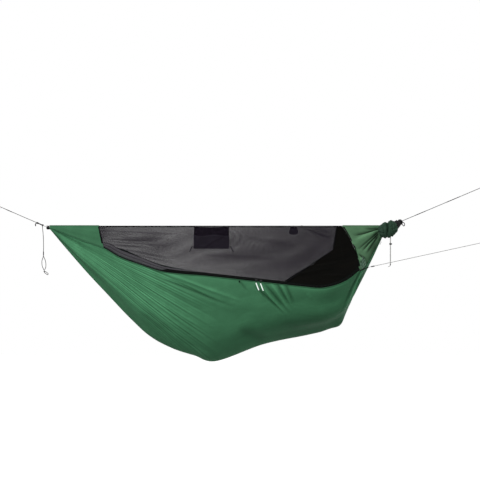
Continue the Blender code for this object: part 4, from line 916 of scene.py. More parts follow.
DARK_FOLDS = [
    ((2.520, -0.400), (2.700, -0.330), 0.014, 0.007),
    ((2.420, -0.480), (2.700, -0.440), 0.013, -0.006),
    ((2.560, -0.560), (2.760, -0.555), 0.010, 0.008),
    ((2.700, -0.200), (2.740, -0.430), 0.012, 0.006),
    ((2.300, -0.560), (2.640, -0.500), 0.012, 0.005),
]
PANEL_GAP = 0.006

mesh_holes, given = new_group("mesh_holes", ("Pitch",), ("Thread", "Tone"))
threads, *parts = thread_lengths(mesh_holes)
cells = [calc(mesh_holes, "DIVIDE", part, given["Pitch"]) for part in parts]
nearest = calc(mesh_holes, "MINIMUM", *(calc(mesh_holes, "PINGPONG", cell, 1.0) for cell in cells))
place(mesh_holes, "NodeGroupOutput", {
    "Thread": remap(mesh_holes, nearest, 0.12, 0.42, 1.0, 0.0),
    "Tone": noise(mesh_holes, threads, 3.5, 3.0),
})


def net_finish(name, colour, least, most, fold_and_shade_gain=0.35):
    """See-through net: dense threads with holes between them, denser where it is folded and where shade is
    painted.
    """
    finish, tree = new_finish(name)
    holes = use_group(tree, mesh_holes, Pitch=0.0011)
    fold_and_shade_density = place(tree, "ShaderNodeAttribute", attribute_name="fold_and_shade_density").outputs["Fac"]
    cover = remap(tree, holes["Thread"], low=least, high=most)
    cloud = remap(tree, holes["Tone"], 0.3, 0.7, -0.03, 0.03)
    fold_and_shade_cover = calc(tree, "MULTIPLY_ADD", fold_and_shade_density, fold_and_shade_gain, cloud)
    coat(tree, {
        "Base Color": blend(tree, holes["Tone"], [c * 0.7 for c in colour], colour),
        "Alpha": calc(tree, "ADD", cover, fold_and_shade_cover, use_clamp=True),
        "Normal": bump(tree, holes["Thread"], 0.0003, 0.5),
        "Roughness": 0.85,
        "Specular IOR Level": 0.05,
    })
    return finish


NET = net_finish("insect_net", (0.0082, 0.0058, 0.0105), 0.475, 0.905, fold_and_shade_gain=0.42)
DARK_CLOTH = cloth_finish(
    "dark_panel_cloth", (0.0022, 0.0019, 0.0014), (0.0010, 0.0010, 0.0008),
    roughness=0.6, wrinkle=0.006, scale=20.0, line_light=0.06, gloss=0.02,
)


def hung_roof(side, stations, shares, folds):
    """A net panel, and how much it is folded and painted in shade at each point."""
    stations, shares = np.broadcast_arrays(np.asarray(stations, float), np.asarray(shares, float))
    points = roof_grid(side, stations, shares)
    outward = roof_lines(side, stations)[3]
    fold = line_folds(points + RIDGE_START, folds)
    fold += 0.002 * np.sin(9 * shares + 2.2 * stations) * np.sin(math.pi * shares)
    fold = np.clip(fold * np.sin(math.pi * np.clip(shares, 0, 1)) ** 0.4, -0.010, 0.008)
    along = points[..., 0] + RIDGE_START[0]
    # Painted shade: the net is made denser towards the right end and just right of the left border.
    shade = 0.42 * step(along, 1.4, 2.85) + 0.2 * (1 - step(along, 0.84, 0.96))
    return points + outward * fold[..., None], np.clip(np.abs(fold) / 0.012 + shade, 0, 1)


def seam_station(share):
    """The station where a row of the near roof crosses the border of the dark panel."""
    stations = np.linspace(10, RIGHT_BORDER - 0.1, 800)
    points = roof_grid(-1, stations, share) + RIDGE_START
    border = np.interp(-points[:, 2], -DARK_PANEL_BORDER[:, 1], DARK_PANEL_BORDER[:, 0])
    return stations[np.argmin(np.abs(points[:, 0] - border))]


far_stations = np.linspace(LEFT_BORDER + 0.005, RIGHT_BORDER - 0.005, 240)
far_points, far_fold_and_shade_density = hung_roof(1, far_stations[:, None], np.linspace(0, 1, 40), [])
far_points = add_last(far_points, band_grid(1, far_stations, HEM_RADIUS + 0.0002)) + RIDGE_START
far_fold_and_shade_density = add_last(far_fold_and_shade_density, far_fold_and_shade_density[:, -1])
far_net = cloth_piece("far_net_panel", far_points, NET, attributes={"fold_and_shade_density": far_fold_and_shade_density})
assign(far_net, "hammock", "insect_net", "far_net")
sheet_area(far_points)

rows = np.linspace(0, 1, 90)
meet = np.array([seam_station(share) for share in rows])


def door_sheet(name, start, end, count, folds, finish, wall, slot, node):
    """A panel of the door between two lines of stations."""
    stations = start + (end - start) * np.linspace(0, 1, count)[:, None]
    points, fold_and_shade_density = hung_roof(-1, stations, rows, folds)
    points = points + RIDGE_START
    attributes = {} if wall else {"fold_and_shade_density": fold_and_shade_density}
    panel = cloth_piece(name, points, finish, wall, attributes)
    assign(panel, "door", slot, node)
    sheet_area(points)


door_sheet("door_net_panel", LEFT_BORDER + PANEL_GAP, meet - PANEL_GAP, 230, NET_FOLDS,
           NET, 0.0, "insect_net", "door_net")
for side, body_name in ((-1, "door"), (1, "hammock")):
    stations = np.linspace(LEFT_BORDER, RIGHT_BORDER - PANEL_GAP, 60)
    down, outward, top = roof_lines(side, stations)[2:]
    grid = np.stack([top + down * reach + outward * 0.0009 for reach in (ROOF_START, 0.009, 0.0125)], 1)
    sew_tape(f"{body_name}_ridge_binding", grid, BINDING_WALL, body_name)
door_sheet("dark_door_panel", meet + PANEL_GAP, RIGHT_BORDER - PANEL_GAP, 110, DARK_FOLDS,
           DARK_CLOTH, PANEL_WALL, "black_fabric", "door_dark_panel")

# A narrow black tape covers the seam between the net and the dark panel.
seam = np.stack([meet - 0.05, meet, meet + 0.035], axis=0)
sew_tape("dark_panel_seam", roof_grid(-1, seam, rows, rise=0.0024), TAPE_WALL, "door")

# Zip. Two woven black tapes with a coil between them: the lower one is sewn to the near hem, the
# upper one to the door. A strip of doubled net with black edges and seams covers its left stretch.
# Two painted sliders close it, each with a pale tab on a short cord.
LOW_TAPE = (HEM_RADIUS + SEAM_GAP, HEM_RADIUS + SEAM_GAP + BAND_WIDTH)
HIGH_TAPE = (LOW_TAPE[1] + SEAM_GAP, BAND_ZONE - SEAM_GAP)
COIL_HALF, COIL_PITCH = 0.0022, 0.0021
COIL_ROUND = ((0.0, 0.0017), (0.25, 0.0026), (0.75, 0.0027), (1.0, 0.0017))
ZIP_END = 6.9
# How high the doubled net reaches above the hem at stations of its upper half.
SELVEDGE_WIDTHS = (
    [4, 4.4, 5, 5.6, 6.2, 7, 8, 9.3],
    [0.047, 0.060, 0.070, 0.072, 0.070, 0.060, 0.048, 0.034],
)
SEAM_RISE, SEAM_WIDTH, SEAM_WALL, ZIP_WALL = 0.0022, 0.0022, 0.0004, 0.0009

zip_cloth, tree = new_finish("zip_tape")
weave = use_group(tree, ripstop, Grid=0.0019, Thread=0.0012)
coat(tree, {
    "Base Color": blend(tree, weave["Tone"], (0.0008, 0.0012, 0.001), (0.002, 0.003, 0.0024)),
    "Normal": bump(tree, weave["Height"], 0.0002, 0.8),
    "Roughness": 0.7,
    "Specular IOR Level": 0.03,
})
zip_coil, tree = new_finish("zip_coil")
tooth = calc(tree, "SINE", calc(tree, "MULTIPLY", thread_lengths(tree)[1], math.tau / COIL_PITCH))
# Painted shade darkens the gaps between the coil's teeth.
tooth_gap_shade = remap(tree, tooth, -1.0, 0.2)
coat(tree, {
    "Base Color": blend(tree, tooth_gap_shade, (0.001, 0.001, 0.001), (0.005, 0.0055, 0.005)),
    "Normal": bump(tree, tooth, 0.0005, 1.0),
    "Roughness": 0.35,
    "Specular IOR Level": 0.08,
})
SELVEDGE = net_finish("doubled_net", (0.064, 0.060, 0.068), 0.80, 0.95)


def band_strip(stations, rows, rises):
    """A grid along the near roof, its rows at distances from the hem and with their rises."""
    pairs = zip(rows, np.broadcast_to(rises, (len(rows),)))
    return np.stack([band_grid(-1, stations, row, rise) for row, rise in pairs], axis=1)


lower_stations = np.linspace(LEFT_BORDER + 0.004, ZIP_END + 0.5, 90)
upper_stations = np.linspace(LEFT_BORDER + 0.004, SELVEDGE_WIDTHS[0][-1], 90)
upper_tops = np.interp(upper_stations, *SELVEDGE_WIDTHS)
edge_stations, edge_tops = upper_stations[:62], upper_tops[:62]
lower_edge = band_strip(lower_stations, (LOW_TAPE[0] - 0.0016, LOW_TAPE[0] + 0.0056), SEAM_RISE)
upper_edge = band_strip(edge_stations, (edge_tops - 0.0035, edge_tops), SEAM_RISE)
for word, stations, start, tops, rise, edge_grid, body_name in (
    ("lower", lower_stations, LOW_TAPE[0], LOW_TAPE[1], 0.0004, lower_edge, "hammock"),
    ("upper", upper_stations, HIGH_TAPE[0], upper_tops, 0.0014, upper_edge, "door"),
):
    reach = [start + (tops - start) * share for share in np.linspace(0, 1, 9)]
    grid = band_strip(stations, reach, rise) + RIDGE_START
    selvedge = cloth_piece(f"net_selvedge_{word}", grid, SELVEDGE)
    assign(selvedge, body_name, "insect_net", f"zip_{word}_band")
    sew_tape(f"net_selvedge_{word}_edge", edge_grid, BINDING_WALL, body_name)
for number, start, top, share, body_name in (
    (1, HIGH_TAPE[0], edge_tops, 0.4, "door"),
    (2, *LOW_TAPE, 0.75, "hammock"),
    (3, *LOW_TAPE, 0.35, "hammock"),
):
    middle = start + (top - start) * share
    grid = band_strip(edge_stations, (middle, middle + SEAM_WIDTH), SEAM_RISE)
    sew_tape(f"net_selvedge_seam_{number}", grid, SEAM_WALL, body_name)

# The zip narrows to the hem at its left end.
zip_stations = np.linspace(ZIP_END, RIGHT_BORDER - 0.004, 230)
narrow = 0.12 + 0.88 * step(zip_stations, ZIP_END, ZIP_END + 0.45)
ripple = 0.0006 * np.sin(zip_stations * 23)[:, None] * np.sin(np.linspace(0, math.pi, 5))
for word, (start, end), coil_edge, coil_end, body_name in (
    ("lower", LOW_TAPE, LOW_TAPE[1], LOW_TAPE[1] - COIL_HALF, "hammock"),
    ("upper", HIGH_TAPE, HIGH_TAPE[0], HIGH_TAPE[0] + COIL_HALF, "door"),
):
    reach = [LOW_TAPE[0] + (q - LOW_TAPE[0]) * narrow for q in np.linspace(start, end, 5)]
    grid = band_strip(zip_stations, reach, 0.0008)
    grid[..., 1] -= np.abs(ripple)
    tape = cloth_piece(f"zip_tape_{word}", grid + RIDGE_START, zip_cloth, ZIP_WALL)
    assign(tape, body_name, "zip_band", f"zip_{word}_band")
    reach = [coil_edge + (coil_end - coil_edge) * share - LOW_TAPE[0] for share, rise in COIL_ROUND]
    rises = [rise for share, rise in COIL_ROUND]
    grid = band_strip(zip_stations, [LOW_TAPE[0] + q * narrow for q in reach], rises)
    coil = cloth_piece(f"zip_coil_{word}", grid + RIDGE_START, zip_coil)
    assign(coil, body_name, "zip_band")

worn_surface, given = new_group("worn_surface", ("Scale", "Wear"), ("Height", "Scuff", "Tone"))
spot = place(worn_surface, "ShaderNodeTexCoord").outputs["Object"]
patch = noise(worn_surface, spot, calc(worn_surface, "MULTIPLY", given["Scale"], 0.2), 3.0)
edge = calc(worn_surface, "SUBTRACT", 1.0, given["Wear"])
place(worn_surface, "NodeGroupOutput", {
    "Height": noise(worn_surface, spot, given["Scale"], 4.0),
    "Scuff": remap(worn_surface, patch, edge, 1.0, 0.0, 2.0),
    "Tone": patch,
})


def hard_finish(
    name, colour, worn_colour, roughness, metallic=0.0, scale=900.0, wear=0.42, depth=0.0001,
):
    """Moulded plastic or metal with a fine grain and scuffed patches."""
    finish, tree = new_finish(name)
    surface = use_group(tree, worn_surface, Scale=scale, Wear=wear)
    coat(tree, {
        "Base Color": blend(tree, surface["Scuff"], colour, worn_colour, use_clamp=True),
        "Roughness": remap(tree, surface["Tone"], low=roughness - 0.12, high=roughness + 0.12),
        "Normal": bump(tree, surface["Height"], depth, 0.5),
        "Metallic": metallic,
    })
    return finish


SLIDER_PAINT = hard_finish("slider_paint", (0.022, 0.023, 0.024), (0.2, 0.2, 0.2), 0.38, 0.4)
PULL_PLASTIC = hard_finish(
    "pull_plastic", (0.74, 0.83, 0.78), (0.55, 0.6, 0.57), 0.45, scale=600.0, wear=0.36,
)
BRIDGE_BAR = 0.0016
SLIDER_BARS = {"left": (2.05801, -0.40613, -0.58336), "right": (2.09162, -0.40963, -0.587)}
PULL_RING, PULL_WIRE = 0.0036, 0.0009
PULL_NECK_LENGTH, PULL_LENGTH, PULL_WIDTH, PULL_THICKNESS = 0.022, 0.064, 0.008, 0.003
PULL_LEAN, PULL_TILT = math.radians(28), math.radians(20)
# The cord's two legs under its ring: how far down and how far apart.
PULL_LEGS = ((0.007, 0.0016), (0.012, 0.001), (0.018, 0.001), (PULL_RING + PULL_NECK_LENGTH, 0.001))
TAB_RIBS = (0.58, 0.74)
TAB_CUTS = (-0.86, -0.7, -0.62, -0.54, 0.5, 0.58, 0.66, 0.74, 0.9)
zip_along = unit(near_edge(ZIP_STRAIGHT[1]) - near_edge(ZIP_STRAIGHT[0]))


def dress_node(node, finish):
    """A better finish on a CAD node whose shape is right."""
    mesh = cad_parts[node].data
    mesh.materials.clear()
    mesh.materials.append(finish)


def settle(piece, name, axes, spot):
    """Turns a modelled piece into place and leaves its object at the origin."""
    turn = Matrix([[float(axes[c][r]) for c in range(3)] for r in range(3)]).to_4x4()
    piece.data.transform(Matrix.Translation(Vector(spot.tolist())) @ turn @ piece.matrix_world)
    piece.matrix_world = Matrix.Identity(4)
    piece.name = piece.data.name = name
    return piece


def model_tab(name, axes, centre, half):
    """A moulded tab: a long block with rounded ends, a slimmer neck end and grip ribs."""
    piece = new_shape(bpy.ops.mesh.primitive_cube_add, size=2)
    piece.scale = half
    bpy.ops.object.transform_apply(location=False, rotation=False, scale=True)
    bpy.ops.object.mode_set(mode="EDIT")
    for share in TAB_CUTS:
        bpy.ops.mesh.select_all(action="SELECT")
        bpy.ops.mesh.bisect(plane_co=(half[0] * share, 0, 0), plane_no=(1, 0, 0))
    bpy.ops.object.mode_set(mode="OBJECT")
    for vert in piece.data.vertices:
        share = vert.co.x / half[0]
        if abs(share) > 0.95:
            vert.co.y *= 0.5 if share < 0 else 0.7
            vert.co.z *= 0.7
        if any(abs(share - rib) < 0.01 for rib in TAB_RIBS):
            vert.co.z *= 1.18
    soften = piece.modifiers.new("soften", "BEVEL")
    soften.width, soften.segments = 0.0008, 2
    bpy.ops.object.modifier_apply(modifier="soften")
    bpy.ops.object.shade_smooth_by_angle(angle=math.radians(40))
    piece.data.materials.clear()
    piece.data.materials.append(PULL_PLASTIC)
    return settle(piece, name, axes, centre)


for side, bar in SLIDER_BARS.items():
    dress_node(f"{side}_slider", SLIDER_PAINT)
    drop = np.array((0, -math.sin(PULL_TILT), -math.cos(PULL_TILT)))
    drop = unit(drop - zip_along * zip_along.dot(drop))
    out = np.cross(zip_along, drop)
    ring = np.array(bar) + drop * (PULL_RING - PULL_WIRE - BRIDGE_BAR / 2 - 0.0008)
    hang = drop * math.cos(PULL_LEAN) + zip_along * math.sin(PULL_LEAN)
    flat = zip_along * math.cos(PULL_LEAN) - drop * math.sin(PULL_LEAN)
    angles = np.linspace(-2.1, 2.1, 15)
    route = [ring + PULL_RING * (-drop * math.cos(a) + out * math.sin(a)) for a in angles]
    route += [ring + drop * q + out * w for q, w in PULL_LEGS]
    route += [ring + drop * q - out * w for q, w in PULL_LEGS[::-1]]
    pull_cord = lay_cord(f"{side}_pull_cord", route, PULL_WIRE, BLACK_CORD, closed=True, sides=6)
    middle = ring + drop * (PULL_RING + PULL_NECK_LENGTH) + hang * PULL_LENGTH / 2
    half = (PULL_LENGTH / 2, PULL_WIDTH / 2, PULL_THICKNESS / 2)
    tab = model_tab(f"{side}_pull_tab", (hang, flat, np.cross(hang, flat)), middle, half)
    assign(pull_cord, f"{side}_zip_pull", "black_cord", f"{side}_pull")
    assign(tab, f"{side}_zip_pull", "pull_plastic", f"{side}_pull")

# Organiser and pouch. A black panel with a full-width pocket hangs on two small plastic rings
# from the ridgeline, with a tie at each lower corner; a small black pouch hangs beside it.
BLACK_PLASTIC = hard_finish(
    "black_plastic", (0.011, 0.011, 0.012), (0.04, 0.04, 0.04), 0.42, scale=700.0,
)
BACK_CLOTH = cloth_finish(
    "organiser_back_cloth", (0.0020, 0.0020, 0.0024), (0.0012, 0.0012, 0.0014),
    roughness=0.65, wrinkle=0.003, scale=30.0, line_light=0.08, gloss=0.01,
)
# The pocket cloth is given a lighter grey than its own dark colour, as painted light for the light that the
# net in front holds back.
POCKET_CLOTH = cloth_finish(
    "pocket_cloth", (0.088, 0.085, 0.103), (0.060, 0.058, 0.072),
    roughness=0.6, wrinkle=0.005, scale=26.0, stretch=0.9, line_light=0.1, gloss=0.04,
)
TIE_RADIUS, TIE_DRAWN, TIE_KNOT_CORD = 0.0025, 0.0034, 0.0018
POUCH_HALF = np.array((0.0352, 0.0058, 0.0238))
POUCH_DROP, POUCH_POWER = 0.024, 3.4
POUCH_ROWS, POUCH_COLUMNS = 36, 48


def smooth_route(knots, count):
    """Points of one smooth curve through the knots, evenly spread over them."""
    return at_stations(np.array(knots, float), np.linspace(0, len(knots) - 1, count))


def point_grid(*parts):
    """A grid of points from its x, y and z."""
    return np.stack(np.broadcast_arrays(*parts), -1)


back_low, back_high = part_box("organiser_back")
pocket_low, pocket_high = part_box("organiser_pocket")
back_size = back_high - back_low
pocket_size = pocket_high - pocket_low
u, v = np.linspace(0, 1, 61)[:, None], np.linspace(0, 1, 41)[None, :]
scallop = 0.0035 * np.sin(math.pi * np.clip((u - 0.06) / 0.88, 0, 1)) * v**4
back_grid = point_grid(
    back_low.x + back_size.x * u,
    0.0004 * np.sin(9 * u + 4 * v),
    back_low.z + 0.001 + (back_size.z - 0.001) * v - scallop,
)
behind = np.array((back_low.x, 1.0, back_low.z))
panel = cloth_piece("organiser_panel", back_grid, BACK_CLOTH, PANEL_WALL, inner=behind)

dip = 0.015 * (0.5 - 0.5 * np.cos(2 * math.pi * (1.3 * u + 0.25))) + 0.006 * np.sin(math.pi * u)
belly = np.sin(math.pi * np.clip(u, 0.0, 1.0)) ** 0.35 * np.clip(v / 0.12, 0, 1) ** 0.5
waves = 0.2 * np.sin(5 * u + 2 * v) * np.sin(math.pi * v) + 0.08 * np.sin(13 * u + 5 * v)
pocket_grid = point_grid(
    pocket_low.x + 0.0004 + (pocket_size.x - 0.0008) * u,
    pocket_high.y - 0.0006 - (pocket_size.y - 0.0015) * (0.72 + waves) * belly,
    pocket_low.z + pocket_size.z * v - dip * v**3,
)
# Painted shade along a diagonal fold of the pocket, and a lighter top strip.
slant = np.exp(-(((v - 0.05 - 1.5 * (u - 0.3)) / 0.07) ** 2)) * (u > 0.3) * (u < 0.85) - 0.6 * (v > 0.9)
behind = np.array((1.712, 1.0, -0.3))
shades = {"shade": -slant}
pocket = cloth_piece("organiser_pocket_cloth", pocket_grid, POCKET_CLOTH, PANEL_WALL, shades, behind)
rim_route = pocket_grid[:, -1] + (0, -0.0002, 0)
rim = lay_cord("organiser_pocket_rim", rim_route, 0.0013, BLACK_TAPE, sides=6)
assign(panel, "organiser", "black_fabric", "organiser_back")
assign(pocket, "organiser", "black_fabric", "organiser_pocket")
assign(rim, "organiser", "black_fabric")
rings = ["organiser_left_ring", "organiser_right_ring"]

shares = np.linspace(0, 1, 20)
arch = 0.010 * np.sin(math.pi * np.clip(shares * 1.6, 0, 1))
turns = np.linspace(0, math.tau, 24, endpoint=False)
knot_bends = point_grid(
    0.0011 * np.sin(2 * turns) + 0.0004 * np.sin(turns),
    0.0009 * np.cos(2 * turns),
    0.0011 * np.sin(3 * turns) + 0.0012,
)
for side, sign, start_x in (("left", -1, pocket_low.x), ("right", 1, pocket_high.x)):
    tie_route = point_grid(
        start_x + sign * 0.0014 + sign * 0.030 * shares**0.8,
        (pocket_low.y + pocket_high.y) / 2,
        pocket_low.z + 0.012 - 0.0369 * shares**1.3 + arch,
    )
    name = f"organiser_{side}_tie"
    tie = lay_cord(f"{name}_cord", tie_route, TIE_DRAWN, BLACK_CORD, sides=6)
    knot_route = tie_route[-1] + knot_bends
    knot = lay_cord(f"{name}_knot", knot_route, TIE_KNOT_CORD, BLACK_CORD, closed=True, sides=6)
    assign(tie, "organiser", "black_cord", name)
    assign(knot, "organiser", "black_cord")
for node in (*rings, "pouch_ring"):
    dress_node(node, BLACK_PLASTIC)

# The pouch is a rounded box, drawn in at its top, with a shallow zip line across.
pouch_low, pouch_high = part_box("ridge_pouch")
pouch_middle = np.array(((pouch_low.x + pouch_high.x) / 2, 0, pouch_low.z + POUCH_DROP))
polar = (math.pi * np.arange(POUCH_ROWS + 1) / POUCH_ROWS)[:, None]
around = math.tau * np.arange(POUCH_COLUMNS) / POUCH_COLUMNS
aim = point_grid(np.sin(polar) * np.cos(around), np.cos(polar), np.sin(polar) * np.sin(around))
size = (np.abs(aim) ** POUCH_POWER).sum(-1, keepdims=True) ** (1 / POUCH_POWER)
spots = aim / size * POUCH_HALF
lift = np.maximum(0, spots[..., 2] / POUCH_DROP)
spots[..., 0] *= 1 - 0.12 * lift**2
bulges = 0.1 * np.sin(60 * spots[..., 0]) * np.sin(80 * spots[..., 2])
spots[..., 1] *= 1 - 0.25 * lift**2 + bulges
zip_line = (np.abs(spots[..., 2] - 0.012) < 0.0016) & (spots[..., 1] < 0)
spots[..., 1] += 0.0008 * zip_line
heights = math.pi * POUCH_HALF[2] * np.arange(POUCH_ROWS + 1) / POUCH_ROWS
faces, texture = tube_faces(POUCH_COLUMNS, math.tau * POUCH_HALF[0], heights)
# The pouch uses the pocket's cloth, painted lighter in the same way.
pouch = build_piece("small_pouch", pouch_middle + spots, faces, texture, POCKET_CLOTH, wrapped=True)
tab_side = [(0.0018, pouch_middle[2] + 0.02), (0.0016, pouch_high.z - 0.004), (0.0008, pouch_high.z - 0.0008)]
tab_knots = [(pouch_middle[0], -y, z) for y, z in tab_side]
tab_knots += [(pouch_middle[0], y, z) for y, z in tab_side[::-1]]
tab_line = smooth_route(tab_knots, 24)
tab_grid = np.stack([tab_line + (w, 0, 0) for w in (-0.026, -0.009, 0.009, 0.026)], axis=1)
tab = cloth_piece("small_pouch_tab", tab_grid, BLACK_TAPE, TAPE_WALL, inner=pouch_middle)
assign(pouch, "pouch", "black_fabric", "ridge_pouch")
assign(tab, "pouch", "black_fabric")

# Left adjuster. A friction hitch of black cord grips the left line and slides on it. Its end curls
# out at the top, and its spare dark tail hangs down to a long eye, a knot and a small end loop.
HITCH_START, HITCH_LENGTH, HITCH_BORE, HITCH_WRAP, HITCH_TURNS = 0.042, 0.05, 0.002, 0.0013, 19
# The hitch's two knots: where they sit on it, and their size.
HITCH_KNOTS = (("low", 0.004, 0.0092), ("high", 0.046, 0.0080))
HITCH_KNOT_CORD, CURL_RADIUS = 0.0028, 0.0038
TAIL_RADIUS, TAIL_DRAWN, TAIL_LENGTH, TAIL_LEAN = 0.0015, 0.0023, 0.2, 0.009
TAIL_SPLICE_LENGTH, TAIL_EYE_LENGTH, TAIL_KNOT, TAIL_KNOT_CORD = 0.031, 0.115, 0.0055, 0.0019
TAIL_LOOP_LENGTH, TAIL_LOOP_HALF = 0.021, 0.0058
# The two strands of the tail's eye, in millimetres beside and below its top.
NEAR_STRAND = ((0, 0), (5, 14), (12, 32), (15.5, 55), (13.5, 80), (6.5, 101), (0.5, 114))
FAR_STRAND = ((0, 2), (5.5, 17), (12, 36), (15.5, 60), (14, 86), (7, 104), (0.5, 114))
LOOSE = 0.0004
DOWN = np.array((0, 0, -1.0))
FORWARD = np.array((0, -1.0, 0))


def tipped(route, radius):
    """The route and radii of a cord whose two ends are melted round."""
    route = np.array(route, float)
    angles = np.linspace(0.2, 1.4, 4)
    back, ahead = unit(route[0] - route[1]), unit(route[-1] - route[-2])
    first = route[0] + back * radius * np.sin(angles[::-1])[:, None]
    last = route[-1] + ahead * radius * np.sin(angles)[:, None]
    ends = radius * np.cos(angles)
    return np.concatenate([first, route, last]), np.concatenate([ends[::-1], [radius] * len(route), ends])


def lay_tipped(name, route, radius, finish=BLACK_CORD, sides=6):
    return lay_cord(name, *tipped(route, radius), finish, sides=sides)


def knotted(name, centre, size, cord_radius):
    """A tight overhand knot of black cord, drawn as the closed curve that such a knot follows."""
    turns = np.linspace(0, math.tau, 40, endpoint=False)
    bends = point_grid(
        (np.sin(turns) + 2 * np.sin(2 * turns)) / 3,
        -np.sin(3 * turns) * 0.55,
        (np.cos(turns) - 2 * np.cos(2 * turns)) / 3,
    )
    route = centre + (size - cord_radius) * bends
    return lay_cord(name, route, cord_radius, BLACK_CORD, closed=True, sides=8)


def assign_all(body_name, *rows):
    """Assigns pieces of one body, each row a piece, its slot and the nodes that it replaces."""
    for piece, slot, *nodes in rows:
        assign(piece, body_name, slot, *nodes)


begin = LEFT_FOOT + left_away * HITCH_START
wraps_start = begin + left_away * HITCH_WRAP
wraps_length = HITCH_LENGTH - 2 * HITCH_WRAP
wraps = winding(wraps_start, left_away, left_upper, HITCH_BORE + HITCH_WRAP, wraps_length, HITCH_TURNS)
hitch = lay_tipped("left_hitch_wraps", wraps, HITCH_WRAP)
tip = begin + left_away * (HITCH_LENGTH + LOOSE + 0.0014)
curl_knots = [
    begin + left_away * 0.0475 + left_upper * 0.0030 + FORWARD * 0.0016,
    tip + left_upper * 0.0018 + FORWARD * 0.0026,
]
for share in (0.0, 0.25, 0.5, 0.75, 1.0):
    fall = left_away * 0.006 * math.sin(math.pi * share) + FORWARD * 0.0026 * (1 - share)
    curl_knots.append(tip - left_upper * (0.003 + 0.0225 * share) + fall)
curl = lay_tipped("left_hitch_curl", smooth_route(curl_knots, 34), CURL_RADIUS, sides=CORD_SIDES)
low_knot, high_knot = (
    knotted(f"left_hitch_knot_{word}", begin + left_away * reach, size, HITCH_KNOT_CORD)
    for word, reach, size in HITCH_KNOTS
)

lean = abs(left_away[2] / left_away[0])
drop = (HITCH_BORE + 2 * HITCH_WRAP) / left_upper[2] + TAIL_RADIUS * lean + LOOSE
tail_top = begin + left_away * 0.006 + DOWN * drop
tail_fall = np.array((TAIL_LEAN, 0, -TAIL_LENGTH))
eye_top = tail_top + tail_fall + DOWN * (TAIL_SPLICE_LENGTH + 2 * LOOSE + TAIL_RADIUS)
hang = np.linspace(0, 1, 60)[:, None]
tail_route = tail_top + hang * tail_fall + np.sin(math.pi * hang) * (0.004, 0, 0)
splice_route = np.linspace(tail_route[-1], eye_top + (0, 0, 0.002), 8)[1:]
strands = []
for sign, knots in ((-1, NEAR_STRAND), (1, FAR_STRAND)):
    points = [eye_top + (0.001 * (sign * side + 0.05 * down), 0, -0.001 * down) for side, down in knots]
    strands.append(smooth_route(points, 50))
tail_path, tail_radii = tipped(np.concatenate([tail_route, splice_route, strands[0]]), TAIL_DRAWN)
tail = lay_cord("left_tail_cord", tail_path, tail_radii, TAIL_CORD)
strand = lay_tipped("left_tail_strand", strands[1], TAIL_DRAWN, TAIL_CORD, CORD_SIDES)
splice_points = np.linspace(tail_route[-1], tail_route[-1] + DOWN * TAIL_SPLICE_LENGTH, 12)
splice_radii = 1.25 * SPLICE_RADIUS * (0.82 + 0.18 * np.sin(np.linspace(0, math.pi, 12)) ** 0.4)
splice = lay_cord("left_tail_splice_sleeve", splice_points, splice_radii, BLACK_CORD)
knot_drop = TAIL_EYE_LENGTH + TAIL_KNOT + TAIL_RADIUS + LOOSE
knot_middle = eye_top + (0.05 * TAIL_EYE_LENGTH, 0, -knot_drop)
knot = knotted("left_tail_end_knot", knot_middle, TAIL_KNOT, TAIL_KNOT_CORD)
slant, across = np.array((0.8, 0, -0.6)), np.array((0.6, 0, 0.8))
loop_start = knot_middle + slant * (TAIL_KNOT + TAIL_RADIUS + 0.004)
end, name = loop_start + slant * TAIL_LOOP_LENGTH, "left_tail_loop"
end_loop = lay_loop(name, loop_start, end, across, TAIL_LOOP_HALF, TAIL_DRAWN, TAIL_CORD, CORD_SIDES)
assign_all(
    "left_adjuster",
    (hitch, "black_cord", "left_hitch"),
    (curl, "black_cord", "left_hitch_end"),
    (low_knot, "black_cord"),
    (high_knot, "black_cord"),
    (tail, "grey_cord", "left_tail", "left_tail_eye"),
    (strand, "grey_cord", "left_tail_eye"),
    (splice, "black_cord", "left_tail_splice"),
    (knot, "black_cord", "left_tail_knot"),
    (end_loop, "grey_cord", "left_tail_end_loop"),
)

# Stuff sack. A dark green sack with a black drawn-in mouth is tied round the right line by a black
# cord, loosely filled. Its pale drawcord hangs down in two strands through a sprung cord lock.
SACK_BASE = np.array((RIGHT_FOOT[0], 0, RIDGE_START[2]))
SACK_MIDDLE = SACK_BASE + (0.0, -0.125, -0.028)
SACK_HALF = np.array((0.076, 0.043, 0.068))
MOUTH_START = SACK_BASE + (0.103, -0.036, 0.030)
MOUTH_END = SACK_BASE + (0.050, -0.105, -0.002)
MOUTH_TIE_RADIUS, MOUTH_TIE_LENGTH, MOUTH_TIE_CORD = 0.0178, 0.0060, 0.0018
# Creases of the sack as (x, z) from its middle; the first goes all round.
SACK_CREASES = [
    ((-0.004, 0.085), (-0.010, -0.085), 0.010, -0.026),
    ((0.030, -0.105), (0.012, 0.040), 0.007, -0.009),
    ((-0.030, -0.080), (-0.058, 0.060), 0.007, -0.010),
    ((0.048, -0.060), (0.030, 0.045), 0.006, -0.008),
    ((0.062, -0.040), (0.050, 0.040), 0.005, -0.007),
    ((-0.002, 0.060), (-0.072, 0.020), 0.007, 0.008),
    ((0.020, -0.075), (0.010, 0.060), 0.008, 0.008),
    ((-0.085, -0.010), (-0.030, -0.030), 0.007, -0.009),
]
